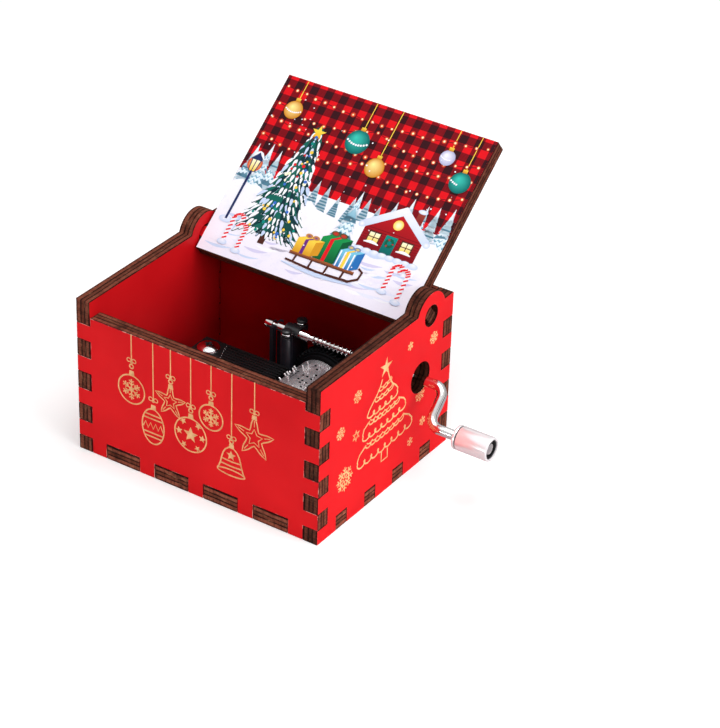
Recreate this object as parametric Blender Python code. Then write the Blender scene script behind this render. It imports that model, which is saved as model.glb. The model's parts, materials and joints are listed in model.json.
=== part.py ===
"""Hand-cranked wooden music box, modelled piece by piece in metres.

The box stands on z = 0 with the origin under the middle of its footprint.
X runs to the right along the front, Y runs to the back and Z runs up.
The lid is shown open, leaning on the back panel.
"""

import math
import random

import bmesh
import bpy
from mathutils import Matrix, Vector

# Plywood case
PLY = 0.0036
WOOD_FIT = 0.00015
SIDE_HEIGHT = 0.0384
LEFT_ROOM = 0.0054
RIGHT_ROOM = 0.0064
FRONT_ROOM = 0.0052
REAR_ROOM = 0.0035
FINGER_COUNT = 7
TOP_LAND = 0.0019
FRONT_TAB_COUNT = 4
FRONT_TAB_END = 0.0077
FRONT_TAB_GAP = 0.0042
SIDE_TAB_COUNT = 4
SIDE_TAB_END = 0.0070
SIDE_TAB_WIDTH = 0.0041

# Lid and its hinge
EAR_RADIUS = 0.0056
HINGE_FROM_BACK = 0.0089
LID_SIDE_GAP = 0.0004
LID_FRONT_STEP = 0.0002
LID_TAIL = 0.0042
LID_REST_GAP = 0.00015
PEG_WIDTH = 0.0027
PEG_CHAMFER = 0.0005
PEG_PLAY = 0.0005
PEG_RECESS = 0.0003

# Clearances inside the movement
SEAT_GAP = 0.0002
RUN_GAP = 0.0003
SHAFT_PLAY = 0.0002
THREAD_PLAY = 0.00015

# Worm and wheel
WIRE_RADIUS = 0.00115
WORM_PITCH = 0.001096
WORM_TIP_RADIUS = 0.0013
WORM_ROOT_RADIUS = 0.00075
WORM_CREST_WIDTH = 0.00025
WORM_BASE_WIDTH = 0.00062
WORM_LEFT = 0.0050
WORM_RIGHT = 0.0076
WHEEL_TEETH = 48
MESH_DEPTH = 0.00035
WHEEL_TIP_WIDTH = 0.00030
WHEEL_TOOTH_BASE = 0.00062
WHEEL_ROOT_RELIEF = 0.0002
WHEEL_THICKNESS = 0.0028
WHEEL_FLOOR_GAP = 0.00055
WHEEL_FLANGE = 0.0005

# Pinned cylinder and its arbor
CYLINDER_RADIUS = 0.0066
CYLINDER_WALL = 0.0006
CYLINDER_END = 0.0008
CYLINDER_MARGIN = 0.00195
PIN_RADIUS = 0.00021
PIN_LENGTH = 0.00065
PIN_STEPS = 40
PIN_SHARE = 0.14
ARBOR_RADIUS = 0.0010
ARBOR_OVERHANG = 0.0004

# Comb
TOOTH_COUNT = 18
TOOTH_PITCH = 0.00095
SLOT_WIDTH = 0.00028
LONGEST_TOOTH = 0.0168
TOOTH_SHORTENING = 0.00034
COMB_HEIGHT = 0.0031
TOOTH_THICKNESS = 0.0007
COMB_THICKNESS = 0.0020
COMB_ROOT = 0.0060
TOOTH_TIP_WIDTH = 0.00042
TOOTH_TIP_LENGTH = 0.0012
WEIGHTED_TEETH = 9
WEIGHT_LENGTH = 0.0034
WEIGHT_DEPTH = 0.0011

# Bedplate and bearings
BED_THICKNESS = 0.0022
BED_MARGIN = 0.0008
BED_CORNER = 0.0020
WINDOW_GAP = 0.0006
POST_RADIUS = 0.0014
POST_OFFSET = 0.0097
POST_SHIFT = 0.0003
POST_SPREAD = 0.0030
POST_ABOVE_WIRE = 0.0003
SADDLE_WIDTH = 0.0014
SADDLE_PLAY = 0.0002
SADDLE_BELOW_WIRE = 0.0006
BED_RIGHT_MARGIN = 0.0026
FORK_OFFSET = 0.0142
FORK_THICKNESS = 0.0009
FORK_WIDTH = 0.0013
FORK_RISE = 0.0005
FORK_PLAY = 0.0002
PILLAR_RADIUS = 0.0026
PILLAR_THICKNESS = 0.0014
BRACKET_THICKNESS = 0.0012
BRACKET_FOOT = 0.0036
BOSS_RADIUS = 0.0026
BOSS_RISE = 0.0022

# Straps over the crank wire
STRAP_THICKNESS = 0.00035
STRAP_WIDTH = 0.0038
STRAP_FOOT_RADIUS = 0.00135
STRAP_SHOULDER = 0.0001
WASHER_RADIUS = 0.0013
WASHER_THICKNESS = 0.0003
STRAP_SCREW_RADIUS = 0.00065
STRAP_SCREW_DEPTH = 0.0040
STRAP_HEAD_RADIUS = 0.00127
STRAP_HEAD_RISE = 0.0008

# Comb, bracket and mounting screws
COMB_SCREW_RADIUS = 0.0010
COMB_SCREW_DEPTH = 0.0050
COMB_HEAD_RADIUS = 0.0027
COMB_HEAD_RISE = 0.0016
BRACKET_SCREW_RADIUS = 0.0008
BRACKET_SCREW_DEPTH = 0.0016
BRACKET_HEAD_RADIUS = 0.0016
BRACKET_HEAD_RISE = 0.0010
MOUNT_SCREW_RADIUS = 0.00095
MOUNT_SCREW_BITE = 0.0034
MOUNT_HEAD_RADIUS = 0.0024
MOUNT_HEAD_DEPTH = 0.0014
MOUNT_HEAD_INSET = 0.0001
RECESS_DEPTH = 0.0008
RECESS_ARM = 0.50
RECESS_SLOT = 0.16

# Crank and knob
CRANK_TAIL = 0.01715
NECK_RADIUS = 0.0006
CRANK_HOLE_RADIUS = 0.00375
CRANK_HOLE_RISE = 0.0004
PANEL_TO_ARM = 0.0065
ARM_LENGTH = 0.0089
ARM_ANGLE = math.radians(225)
BEND_RADIUS = 0.0026
ARM_TO_KNOB = 0.0073
KNOB_LENGTH = 0.0088
KNOB_RADIUS = 0.00275
KNOB_WALL = 0.00055
KNOB_FLANGE = 0.0007
KNOB_GROOVE_WIDTH = 0.0003
KNOB_GROOVE_DEPTH = 0.0003
KNOB_CHAMFER = 0.0003
KNOB_PIN_RADIUS = 0.00085
RIVET_RADIUS = 0.0013
RIVET_THICKNESS = 0.00045

# Roundness, in sides of a full turn
ROUND = 32
FINE_ROUND = 40
SMALL_ROUND = 16
WIRE_ROUND = 14
PIN_ROUND = 6
BEND_STEPS = 7
WORM_STEPS = 12
MILLIMETRE = 0.001
OVERCUT = 0.001

# Sizes that follow from the ones above
WHEEL_PITCH_RADIUS = WHEEL_TEETH * WORM_PITCH / math.tau
WHEEL_TIP_RADIUS = WHEEL_PITCH_RADIUS + MESH_DEPTH / 2
CENTRE_DISTANCE = WHEEL_TIP_RADIUS + WORM_TIP_RADIUS - MESH_DEPTH
WHEEL_ROOT_RADIUS = CENTRE_DISTANCE - WORM_TIP_RADIUS - WHEEL_ROOT_RELIEF
PIN_CIRCLE = CYLINDER_RADIUS + PIN_LENGTH
CYLINDER_LENGTH = TOOTH_COUNT * TOOTH_PITCH + 2 * CYLINDER_MARGIN
COMB_REACH = PIN_CIRCLE + RUN_GAP / 2

FLOOR = PLY
BED_BOTTOM = FLOOR + SEAT_GAP
BED_TOP = BED_BOTTOM + BED_THICKNESS
AXIS_HEIGHT = FLOOR + WHEEL_FLOOR_GAP + WHEEL_TIP_RADIUS
CRANK_HEIGHT = AXIS_HEIGHT + CENTRE_DISTANCE
COMB_TOP = AXIS_HEIGHT + COMB_HEIGHT
COMB_BOTTOM = COMB_TOP - COMB_THICKNESS
LEDGE_TOP = COMB_BOTTOM - SEAT_GAP
POST_TOP = CRANK_HEIGHT + POST_ABOVE_WIRE
SADDLE_TOP = CRANK_HEIGHT - SADDLE_BELOW_WIRE
FORK_SPREAD = NECK_RADIUS + FORK_PLAY + FORK_WIDTH / 2
STRAP_BOTTOM = POST_TOP + SEAT_GAP
STRAP_TOP = STRAP_BOTTOM + STRAP_THICKNESS
WASHER_BOTTOM = STRAP_TOP + SEAT_GAP / 2
WASHER_TOP = WASHER_BOTTOM + WASHER_THICKNESS

BED_LEFT_REACH = COMB_REACH + LONGEST_TOOTH + COMB_ROOT + BED_MARGIN
BED_RIGHT_REACH = POST_OFFSET + POST_SHIFT + POST_RADIUS + BED_RIGHT_MARGIN
BED_LENGTH = BED_LEFT_REACH + BED_RIGHT_REACH
WHEEL_FRONT = WHEEL_THICKNESS / 2
FLANGE_FRONT = WHEEL_FRONT + 2 * WHEEL_FLANGE
CYLINDER_BACK = FLANGE_FRONT + RUN_GAP
CYLINDER_FRONT = CYLINDER_BACK + CYLINDER_LENGTH
BRACKET_BACK = CYLINDER_FRONT + RUN_GAP * 2
BRACKET_FRONT = BRACKET_BACK + BRACKET_THICKNESS
BED_FRONT_REACH = BRACKET_FRONT + BRACKET_FOOT + BED_MARGIN
PILLAR_FRONT = WHEEL_THICKNESS / 2 + RUN_GAP * 2
PILLAR_BACK = PILLAR_FRONT + PILLAR_THICKNESS
BED_REAR_REACH = max(PILLAR_BACK, POST_SPREAD + POST_RADIUS) + BED_MARGIN
BED_DEPTH = BED_FRONT_REACH + BED_REAR_REACH

BOX_WIDTH = 2 * PLY + LEFT_ROOM + BED_LENGTH + RIGHT_ROOM
BOX_DEPTH = 2 * PLY + FRONT_ROOM + BED_DEPTH + REAR_ROOM
HALF_WIDTH = BOX_WIDTH / 2
HALF_DEPTH = BOX_DEPTH / 2
CYLINDER_X = HALF_WIDTH - PLY - RIGHT_ROOM - BED_RIGHT_REACH
CRANK_Y = HALF_DEPTH - PLY - REAR_ROOM - BED_REAR_REACH
COMB_Y = CRANK_Y - CYLINDER_BACK - CYLINDER_LENGTH / 2

HINGE_Y = HALF_DEPTH - HINGE_FROM_BACK
HINGE_Z = SIDE_HEIGHT - PLY / 2
PEG_HOLE_RADIUS = math.hypot(PEG_WIDTH, PLY) / 2 + PEG_PLAY - PEG_CHAMFER * 0.35
FRONT_HEIGHT = SIDE_HEIGHT - PLY - 2 * WOOD_FIT
FINGER_HEIGHT = (FRONT_HEIGHT - PLY - TOP_LAND) / FINGER_COUNT


def lid_open_angle():
    """Angle from closed at which the lid's top face meets the back panel's edge."""
    run = HALF_DEPTH - PLY - HINGE_Y
    rise = SIDE_HEIGHT - HINGE_Z
    reach = math.hypot(run, rise)
    lean = math.atan2(rise, run)
    return math.pi - math.asin((PLY / 2 + LID_REST_GAP) / reach) - lean


def clear_scene():
    """Remove whatever the open file holds."""
    for item in list(bpy.data.objects):
        bpy.data.objects.remove(item, do_unlink=True)


def make_material(name, colour, roughness, metallic=0.0):
    """A Principled material with one colour, roughness and metallic value."""
    material = bpy.data.materials.new(name)
    material.use_nodes = True
    shader = material.node_tree.nodes["Principled BSDF"]
    shader.inputs["Base Color"].default_value = (*colour, 1.0)
    shader.inputs["Roughness"].default_value = roughness
    shader.inputs["Metallic"].default_value = metallic
    material.diffuse_color = (*colour, 1.0)
    return material


def make_object(name, bm, material=None, location=(0, 0, 0), parent=None, smooth=False):
    """Turn a bmesh into a named object with its faces pointing out."""
    bmesh.ops.recalc_face_normals(bm, faces=bm.faces)
    mesh = bpy.data.meshes.new(name)
    bm.to_mesh(mesh)
    bm.free()
    if smooth:
        mesh.shade_smooth()
        mesh.set_sharp_from_angle(angle=math.radians(35))
    item = bpy.data.objects.new(name, mesh)
    bpy.context.scene.collection.objects.link(item)
    item.location = location
    item.parent = parent
    if material:
        mesh.materials.append(material)
    return item


def make_axis(name, location, rotation=(0, 0, 0), parent=None):
    """An empty that marks a joint's axis."""
    axis = bpy.data.objects.new(name, None)
    axis.empty_display_size = 5 * MILLIMETRE
    axis.location = location
    axis.rotation_euler = rotation
    axis.parent = parent
    bpy.context.scene.collection.objects.link(axis)
    return axis


def extruded(outline, low, high, frame=Matrix.Identity(4)):
    """A prism: the outline in the frame's XY plane, from low to high along its Z."""
    bm = bmesh.new()
    corners = [bm.verts.new(frame @ Vector((u, v, low))) for u, v in outline]
    base = bm.faces.new(corners)
    grown = bmesh.ops.extrude_face_region(bm, geom=[base], use_keep_orig=True)
    moved = [part for part in grown["geom"] if isinstance(part, bmesh.types.BMVert)]
    lift = frame.to_3x3() @ Vector((0, 0, high - low))
    bmesh.ops.translate(bm, verts=moved, vec=lift)
    return bm


def turned(profile, sides, frame=Matrix.Identity(4), ring=False):
    """A turned piece: (radius, height) points spun about the frame's Z axis."""
    bm = bmesh.new()
    points = [bm.verts.new((radius, 0, height)) for radius, height in profile]
    pairs = list(zip(points, points[1:]))
    if ring:
        pairs.append((points[-1], points[0]))
    lines = [bm.edges.new(pair) for pair in pairs]
    bmesh.ops.spin(bm, geom=points + lines, axis=(0, 0, 1), cent=(0, 0, 0),
                   steps=sides, angle=math.tau, use_merge=True)
    bmesh.ops.remove_doubles(bm, verts=bm.verts, dist=0.001 * MILLIMETRE)
    bmesh.ops.dissolve_verts(bm, verts=flat_middles(bm))
    bmesh.ops.transform(bm, matrix=frame, verts=bm.verts)
    return bm


def flat_middles(bm):
    """The middle points of a turned piece's flat ends, where the end is one plain face."""
    step = 0.001 * MILLIMETRE
    return [vert for vert in bm.verts
            if vert.co.xy.length < step
            and all(abs(edge.other_vert(vert).co.z - vert.co.z) < step
                    for edge in vert.link_edges)]


def skinned(rings):
    """A solid through closed rings of equally many points, capped at both ends."""
    bm = bmesh.new()
    loops = [[bm.verts.new(point) for point in ring] for ring in rings]
    for near, far in zip(loops, loops[1:]):
        for index in range(len(near)):
            after = (index + 1) % len(near)
            bm.faces.new((near[index], near[after], far[after], far[index]))
    bm.faces.new(loops[0])
    bm.faces.new(loops[-1])
    return bm


def arc(centre, radius, start, end, steps):
    """Points on an arc, both ends included."""
    angles = [start + (end - start) * step / steps for step in range(steps + 1)]
    return [(centre[0] + radius * math.cos(angle), centre[1] + radius * math.sin(angle))
            for angle in angles]


def rectangle(left, right, low, high):
    """The four corners of an upright rectangle."""
    return [(left, low), (right, low), (right, high), (left, high)]


def rounded_rectangle(left, right, low, high, radius, steps=4):
    """A rectangle with round corners."""
    quarter = math.pi / 2
    centres = [(right - radius, low + radius), (right - radius, high - radius),
               (left + radius, high - radius), (left + radius, low + radius)]
    points = []
    for turn, centre in enumerate(centres, start=-1):
        points += arc(centre, radius, turn * quarter, (turn + 1) * quarter, steps)
    return points


def use_boolean(target, tool, operation):
    """Cut the tool from the target or add it, and keep the tool as a guide."""
    tool.hide_render = True
    tool.display_type = "WIRE"
    modifier = target.modifiers.new(f"{operation.lower()} {tool.name}", "BOOLEAN")
    modifier.operation = operation
    modifier.solver = "EXACT"
    modifier.object = tool


def cut(target, tool):
    """Take the tool's shape out of the target."""
    use_boolean(target, tool, "DIFFERENCE")


def add(target, tool):
    """Make the tool's shape part of the target."""
    use_boolean(target, tool, "UNION")


def trim(target, tool):
    """Keep only the part of the target that lies inside the tool."""
    use_boolean(target, tool, "INTERSECT")


# Frames whose Z axis is the direction that a flat outline is thickened in
ALONG_X = Matrix(((0, 0, 1, 0), (1, 0, 0, 0), (0, 1, 0, 0), (0, 0, 0, 1)))
ALONG_Y = Matrix(((1, 0, 0, 0), (0, 0, -1, 0), (0, 1, 0, 0), (0, 0, 0, 1)))


def finger_levels():
    """Heights where the corner fingers begin, from the bottom panel's top up."""
    return [PLY + FINGER_HEIGHT * step for step in range(FINGER_COUNT + 1)]


def stepped_edge(levels, outer, inner, inner_first):
    """An upright stepped edge: (distance, height) corners between the given levels."""
    points = []
    at_inner = inner_first
    for level in levels:
        before, after = (inner, outer) if at_inner else (outer, inner)
        shift = WOOD_FIT / 2 if after == outer else -WOOD_FIT / 2
        points += [(before, level + shift), (after, level + shift)]
        at_inner = not at_inner
    return points


def tab_spans(length, count, end, gap=None, width=None):
    """Start and end of each tab along an edge that is centred on zero."""
    if width is None:
        width = (length - 2 * end - (count - 1) * gap) / count
    pitch = (length - 2 * end - width) / (count - 1)
    first = -length / 2 + end
    return [(first + step * pitch, first + step * pitch + width) for step in range(count)]


def front_tabs():
    """Spans of the bottom panel's tabs in the front and back panels."""
    return tab_spans(BOX_WIDTH, FRONT_TAB_COUNT, FRONT_TAB_END, gap=FRONT_TAB_GAP)


def side_tabs():
    """Spans of the bottom panel's tabs in the side panels."""
    return tab_spans(BOX_DEPTH, SIDE_TAB_COUNT, SIDE_TAB_END, width=SIDE_TAB_WIDTH)


def notched_bottom(left, right, spans):
    """A bottom edge from left to right with a notch for each tab."""
    points = [(left, 0)]
    for start, end in spans:
        near, far = start - WOOD_FIT / 2, end + WOOD_FIT / 2
        high = PLY + WOOD_FIT
        points += [(near, 0), (near, high), (far, high), (far, 0)]
    points.append((right, 0))
    return points


def end_panel(name, height, y_outer, direction, material):
    """The front or back panel, whose fingers reach the box's outer side faces."""
    inner = HALF_WIDTH - PLY - WOOD_FIT
    right = stepped_edge(finger_levels(), HALF_WIDTH, inner, inner_first=True)
    left = [(-x, z) for x, z in reversed(right)]
    outline = notched_bottom(-inner, inner, front_tabs()) + right
    outline += [(inner, height), (-inner, height)] + left
    low, high = sorted((0, direction * PLY))
    bm = extruded(outline, low, high, ALONG_Y)
    return make_object(name, bm, material, (0, y_outer, 0))


def side_outline():
    """The side panel seen from the right: stepped ends, straight top, ear and horn."""
    rear = stepped_edge(finger_levels(), HALF_DEPTH, HALF_DEPTH - PLY - WOOD_FIT,
                        inner_first=False)
    front = [(-y, z) for y, z in reversed(rear)]
    rise = SIDE_HEIGHT - HINGE_Z
    start = math.asin(rise / EAR_RADIUS)
    ear = arc((HINGE_Y, HINGE_Z), EAR_RADIUS, start, math.pi - start, 22)
    outline = notched_bottom(-HALF_DEPTH, HALF_DEPTH, side_tabs()) + rear
    outline += [(HALF_DEPTH, SIDE_HEIGHT)] + ear + [(-HALF_DEPTH, SIDE_HEIGHT)]
    return outline + front


def side_panel(name, x_outer, direction, material):
    """A side panel with its ear bored for the lid's peg."""
    low, high = sorted((0, -direction * PLY))
    panel = make_object(name, extruded(side_outline(), low, high, ALONG_X),
                        material, (x_outer, 0, 0))
    bore = turned([(0, -PLY - OVERCUT), (PEG_HOLE_RADIUS, -PLY - OVERCUT),
                   (PEG_HOLE_RADIUS, PLY + OVERCUT), (0, PLY + OVERCUT)], ROUND, ALONG_X)
    cut(panel, make_object(f"{name}_peg_bore", bore, None, (x_outer, HINGE_Y, HINGE_Z)))
    return panel


def bottom_panel(material):
    """The floor, with tabs through all four walls and three countersunk holes."""
    side = HALF_WIDTH - PLY - WOOD_FIT
    end = HALF_DEPTH - PLY - WOOD_FIT
    shrink = WOOD_FIT / 2
    front = [(-side, -end)]
    for start, stop in front_tabs():
        near, far = start + shrink, stop - shrink
        front += [(near, -end), (near, -HALF_DEPTH), (far, -HALF_DEPTH), (far, -end)]
    right = [(side, -end)]
    for start, stop in side_tabs():
        near, far = start + shrink, stop - shrink
        right += [(side, near), (HALF_WIDTH, near), (HALF_WIDTH, far), (side, far)]
    back = [(-x, -y) for x, y in front]
    left = [(-x, -y) for x, y in right]
    panel = make_object("bottom_panel", extruded(front + right + back + left, 0, PLY),
                        material)
    for index, (x, y) in enumerate(mount_screw_places()):
        hole = turned(countersunk_profile(MOUNT_HEAD_RADIUS + THREAD_PLAY,
                                          MOUNT_SCREW_RADIUS + THREAD_PLAY,
                                          -OVERCUT, PLY + OVERCUT), SMALL_ROUND)
        cut(panel, make_object(f"floor_hole_{index}", hole, None, (x, y, 0)))
    return panel


def lid(hinge, material):
    """The lid: one flat board with a squared peg at each side, in the hinge's frame."""
    inside = HALF_WIDTH - PLY - LID_SIDE_GAP
    peg = HALF_WIDTH - PEG_RECESS
    front = HINGE_Y + HALF_DEPTH - LID_FRONT_STEP
    half_peg = PEG_WIDTH / 2
    outline = [(-inside, -front), (inside, -front), (inside, -half_peg),
               (peg, -half_peg), (peg, half_peg), (inside, half_peg),
               (inside, LID_TAIL), (-inside, LID_TAIL), (-inside, half_peg),
               (-peg, half_peg), (-peg, -half_peg), (-inside, -half_peg)]
    bm = extruded(outline, -PLY / 2, PLY / 2)
    long_edges = [edge for edge in bm.edges
                  if max(abs(edge.verts[0].co.x), abs(edge.verts[1].co.x)) > inside
                  and abs(edge.verts[0].co.x - edge.verts[1].co.x) > PLY / 2
                  and abs(edge.verts[0].co.x + edge.verts[1].co.x) > inside]
    bmesh.ops.bevel(bm, geom=long_edges, offset=PEG_CHAMFER, segments=1, affect="EDGES",
                    clamp_overlap=True)
    return make_object("lid", bm, material, parent=hinge)


def countersunk_profile(head_radius, shank_radius, bottom, top):
    """Half section of a countersunk screw or hole that opens at z = 0."""
    wide = head_radius - bottom * (head_radius - shank_radius) / MOUNT_HEAD_DEPTH
    return [(0, bottom), (wide, bottom), (shank_radius, MOUNT_HEAD_DEPTH),
            (shank_radius, top), (0, top)]


def dome_profile(shank_radius, depth, head_radius, rise):
    """Half section of a round-headed screw with its seat at z = 0."""
    edge = rise * 0.35
    crown = [(head_radius * math.cos(angle), edge + (rise - edge) * math.sin(angle))
             for angle in (0.0, 0.45, 0.9, 1.25)]
    return [(0, -depth), (shank_radius, -depth), (shank_radius, 0), (head_radius, 0),
            *crown, (0, rise)]


def cross_outline(head_radius):
    """A plus sign for the driver recess of a screw head."""
    arm = head_radius * RECESS_ARM
    slot = head_radius * RECESS_SLOT
    return [(-slot, -arm), (slot, -arm), (slot, -slot), (arm, -slot), (arm, slot),
            (slot, slot), (slot, arm), (-slot, arm), (-slot, slot), (-arm, slot),
            (-arm, -slot), (-slot, -slot)]


def domed_screw(name, place, sizes, material, recess=True, sides=SMALL_ROUND):
    """A round-headed screw standing at its seat, with a cross recess if it has one."""
    shank_radius, depth, head_radius, rise = sizes
    bm = turned(dome_profile(shank_radius, depth, head_radius, rise), sides)
    screw = make_object(name, bm, material, place, smooth=True)
    if recess:
        cross = extruded(cross_outline(head_radius), rise - RECESS_DEPTH, rise + OVERCUT)
        cut(screw, make_object(f"{name}_recess", cross, None, place))
    return screw


def mount_screw_places():
    """Where the three screws come up through the floor into the bedplate's bosses."""
    inset = BOSS_RADIUS + BED_MARGIN
    left = CYLINDER_X - BED_LEFT_REACH + inset
    right = CYLINDER_X + BED_RIGHT_REACH - inset
    front = CRANK_Y - BED_FRONT_REACH + inset
    back = CRANK_Y + BED_REAR_REACH - inset
    return [(left, back), (left, front), (right, front)]


def mount_screw(name, place, material):
    """A countersunk screw driven from under the floor."""
    tip = BED_BOTTOM + MOUNT_SCREW_BITE
    profile = countersunk_profile(MOUNT_HEAD_RADIUS, MOUNT_SCREW_RADIUS,
                                  MOUNT_HEAD_INSET, tip)
    screw = make_object(name, turned(profile, SMALL_ROUND), material, (*place, 0),
                        smooth=True)
    cross = extruded(cross_outline(MOUNT_HEAD_RADIUS), -OVERCUT, RECESS_DEPTH)
    cut(screw, make_object(f"{name}_recess", cross, None, (*place, 0)))
    return screw


def comb_root_x(tooth):
    """How far left of the cylinder's axis the slot beside a tooth ends."""
    return COMB_REACH + LONGEST_TOOTH - TOOTH_SHORTENING * tooth


def comb_back_y():
    """The comb's rear edge."""
    return COMB_Y + TOOTH_COUNT * TOOTH_PITCH / 2


def comb_teeth_outline():
    """The comb from above: a slanted root, then a tapered tooth at each pitch."""
    back = comb_back_y()
    far = CYLINDER_X - COMB_REACH - LONGEST_TOOTH - COMB_ROOT
    tip = CYLINDER_X - COMB_REACH
    points = [(far, back)]
    for tooth in range(TOOTH_COUNT):
        top = back - tooth * TOOTH_PITCH
        low = top - TOOTH_PITCH
        upper = top if tooth == 0 else top - SLOT_WIDTH / 2
        lower = low if tooth == TOOTH_COUNT - 1 else low + SLOT_WIDTH / 2
        middle = (upper + lower) / 2
        shoulder = tip - TOOTH_TIP_LENGTH
        if tooth:
            points.append((CYLINDER_X - comb_root_x(tooth), upper))
        points += [(shoulder, upper), (tip, middle + TOOTH_TIP_WIDTH / 2),
                   (tip, middle - TOOTH_TIP_WIDTH / 2), (shoulder, lower)]
        if tooth < TOOTH_COUNT - 1:
            points.append((CYLINDER_X - comb_root_x(tooth + 1), lower))
    points.append((far, back - TOOTH_COUNT * TOOTH_PITCH))
    return list(reversed(points))


def comb_root_outline(inset=0.0):
    """The thick root of the comb from above, with its slanted front."""
    back = comb_back_y() - inset
    front = comb_back_y() - TOOTH_COUNT * TOOTH_PITCH + inset
    far = CYLINDER_X - COMB_REACH - LONGEST_TOOTH - COMB_ROOT + inset
    margin = SLOT_WIDTH + inset
    return [(far, front), (CYLINDER_X - comb_root_x(TOOTH_COUNT) - margin, front),
            (CYLINDER_X - comb_root_x(0) - margin, back), (far, back)]


def comb_screw_places():
    """The two comb screws, halfway across the root and a quarter in from each end."""
    far = CYLINDER_X - COMB_REACH - LONGEST_TOOTH - COMB_ROOT
    places = []
    for share in (0.26, 0.78):
        near = CYLINDER_X - comb_root_x(TOOTH_COUNT * share)
        x = near - (near - far) / 2
        places.append((x, comb_back_y() - TOOTH_COUNT * TOOTH_PITCH * share))
    return places


def comb(material):
    """The steel comb: thin tuned teeth, a thick root and weights under the long teeth."""
    plate = extruded(comb_teeth_outline(), COMB_TOP - TOOTH_THICKNESS, COMB_TOP)
    item = make_object("comb", plate, material)
    root = extruded(comb_root_outline(), COMB_BOTTOM, COMB_TOP - TOOTH_THICKNESS / 2)
    add(item, make_object("comb_root", root))
    for tooth in range(WEIGHTED_TEETH):
        middle = comb_back_y() - (tooth + 0.5) * TOOTH_PITCH
        half = TOOTH_PITCH / 2 - SLOT_WIDTH
        tip = CYLINDER_X - COMB_REACH - TOOTH_TIP_LENGTH
        length = WEIGHT_LENGTH * (1 - 0.6 * tooth / WEIGHTED_TEETH)
        depth = WEIGHT_DEPTH * (1 - 0.5 * tooth / WEIGHTED_TEETH)
        low = COMB_TOP - TOOTH_THICKNESS - depth
        weight = extruded(rectangle(tip - length, tip, middle - half, middle + half),
                          low, COMB_TOP - TOOTH_THICKNESS / 2)
        add(item, make_object(f"tooth_weight_{tooth}", weight))
    for index, (x, y) in enumerate(comb_screw_places()):
        radius = COMB_SCREW_RADIUS + THREAD_PLAY
        hole = turned([(0, COMB_BOTTOM - OVERCUT), (radius, COMB_BOTTOM - OVERCUT),
                       (radius, COMB_TOP + OVERCUT), (0, COMB_TOP + OVERCUT)],
                      SMALL_ROUND)
        cut(item, make_object(f"comb_hole_{index}", hole, None, (x, y, 0)))
    return item


def pin_places():
    """Track and step of each pin, scattered but never two together on one track."""
    chooser = random.Random(TOOTH_COUNT)
    places = []
    for track in range(TOOTH_COUNT):
        last = -2
        for step in range(PIN_STEPS - 1):
            if step - last > 1 and chooser.random() < PIN_SHARE:
                places.append((track, step))
                last = step
    return places


def cylinder(axis, material):
    """The hollow brass drum with its pins, on the cylinder's axis along Y."""
    inner = CYLINDER_RADIUS - CYLINDER_WALL
    bore = ARBOR_RADIUS + THREAD_PLAY
    profile = [(bore, 0), (CYLINDER_RADIUS, 0), (CYLINDER_RADIUS, CYLINDER_LENGTH),
               (bore, CYLINDER_LENGTH), (bore, CYLINDER_LENGTH - CYLINDER_END),
               (inner, CYLINDER_LENGTH - CYLINDER_END), (inner, CYLINDER_END),
               (bore, CYLINDER_END)]
    start = Matrix.Translation((0, -CYLINDER_BACK, 0)) @ ALONG_Y
    drum = make_object("cylinder", turned(profile, FINE_ROUND, start, ring=True),
                       material, parent=axis, smooth=True)
    pins = bmesh.new()
    for track, step in pin_places():
        along = -CYLINDER_BACK - CYLINDER_MARGIN - (track + 0.5) * TOOTH_PITCH
        turn = Matrix.Rotation(math.tau * step / PIN_STEPS, 4, "Y")
        lift = Matrix.Translation((0, along, 0)) @ turn
        deep = CYLINDER_RADIUS - CYLINDER_WALL / 2
        outer = Matrix.Translation((0, 0, (deep + PIN_CIRCLE) / 2))
        bmesh.ops.create_cone(pins, cap_ends=True, segments=PIN_ROUND,
                              radius1=PIN_RADIUS, radius2=PIN_RADIUS * 0.8,
                              depth=PIN_CIRCLE - deep, matrix=lift @ outer)
    add(drum, make_object("cylinder_pins", pins, parent=axis))
    return drum


def arbor(axis, material):
    """The steel shaft that carries the cylinder and the wheel."""
    front = -BRACKET_FRONT - ARBOR_OVERHANG
    back = PILLAR_BACK + ARBOR_OVERHANG
    chamfer = ARBOR_RADIUS / 4
    profile = [(0, front), (ARBOR_RADIUS - chamfer, front),
               (ARBOR_RADIUS, front + chamfer), (ARBOR_RADIUS, back - chamfer),
               (ARBOR_RADIUS - chamfer, back), (0, back)]
    flipped = [(radius, -height) for radius, height in profile]
    return make_object("cylinder_arbor", turned(flipped, SMALL_ROUND, ALONG_Y), material,
                       parent=axis, smooth=True)


def wheel_outline(twist):
    """The toothed rim seen along the arbor, with a gap under the worm when untwisted."""
    pitch_angle = math.tau / WHEEL_TEETH
    base = WHEEL_TOOTH_BASE / WHEEL_ROOT_RADIUS / 2
    tip = WHEEL_TIP_WIDTH / WHEEL_TIP_RADIUS / 2
    points = []
    for tooth in range(WHEEL_TEETH):
        middle = (tooth + 0.5) * pitch_angle + twist
        for radius, angle in ((WHEEL_ROOT_RADIUS, middle - base),
                              (WHEEL_TIP_RADIUS, middle - tip),
                              (WHEEL_TIP_RADIUS, middle + tip),
                              (WHEEL_ROOT_RADIUS, middle + base)):
            points.append((radius * math.sin(angle), radius * math.cos(angle)))
    return points


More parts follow.
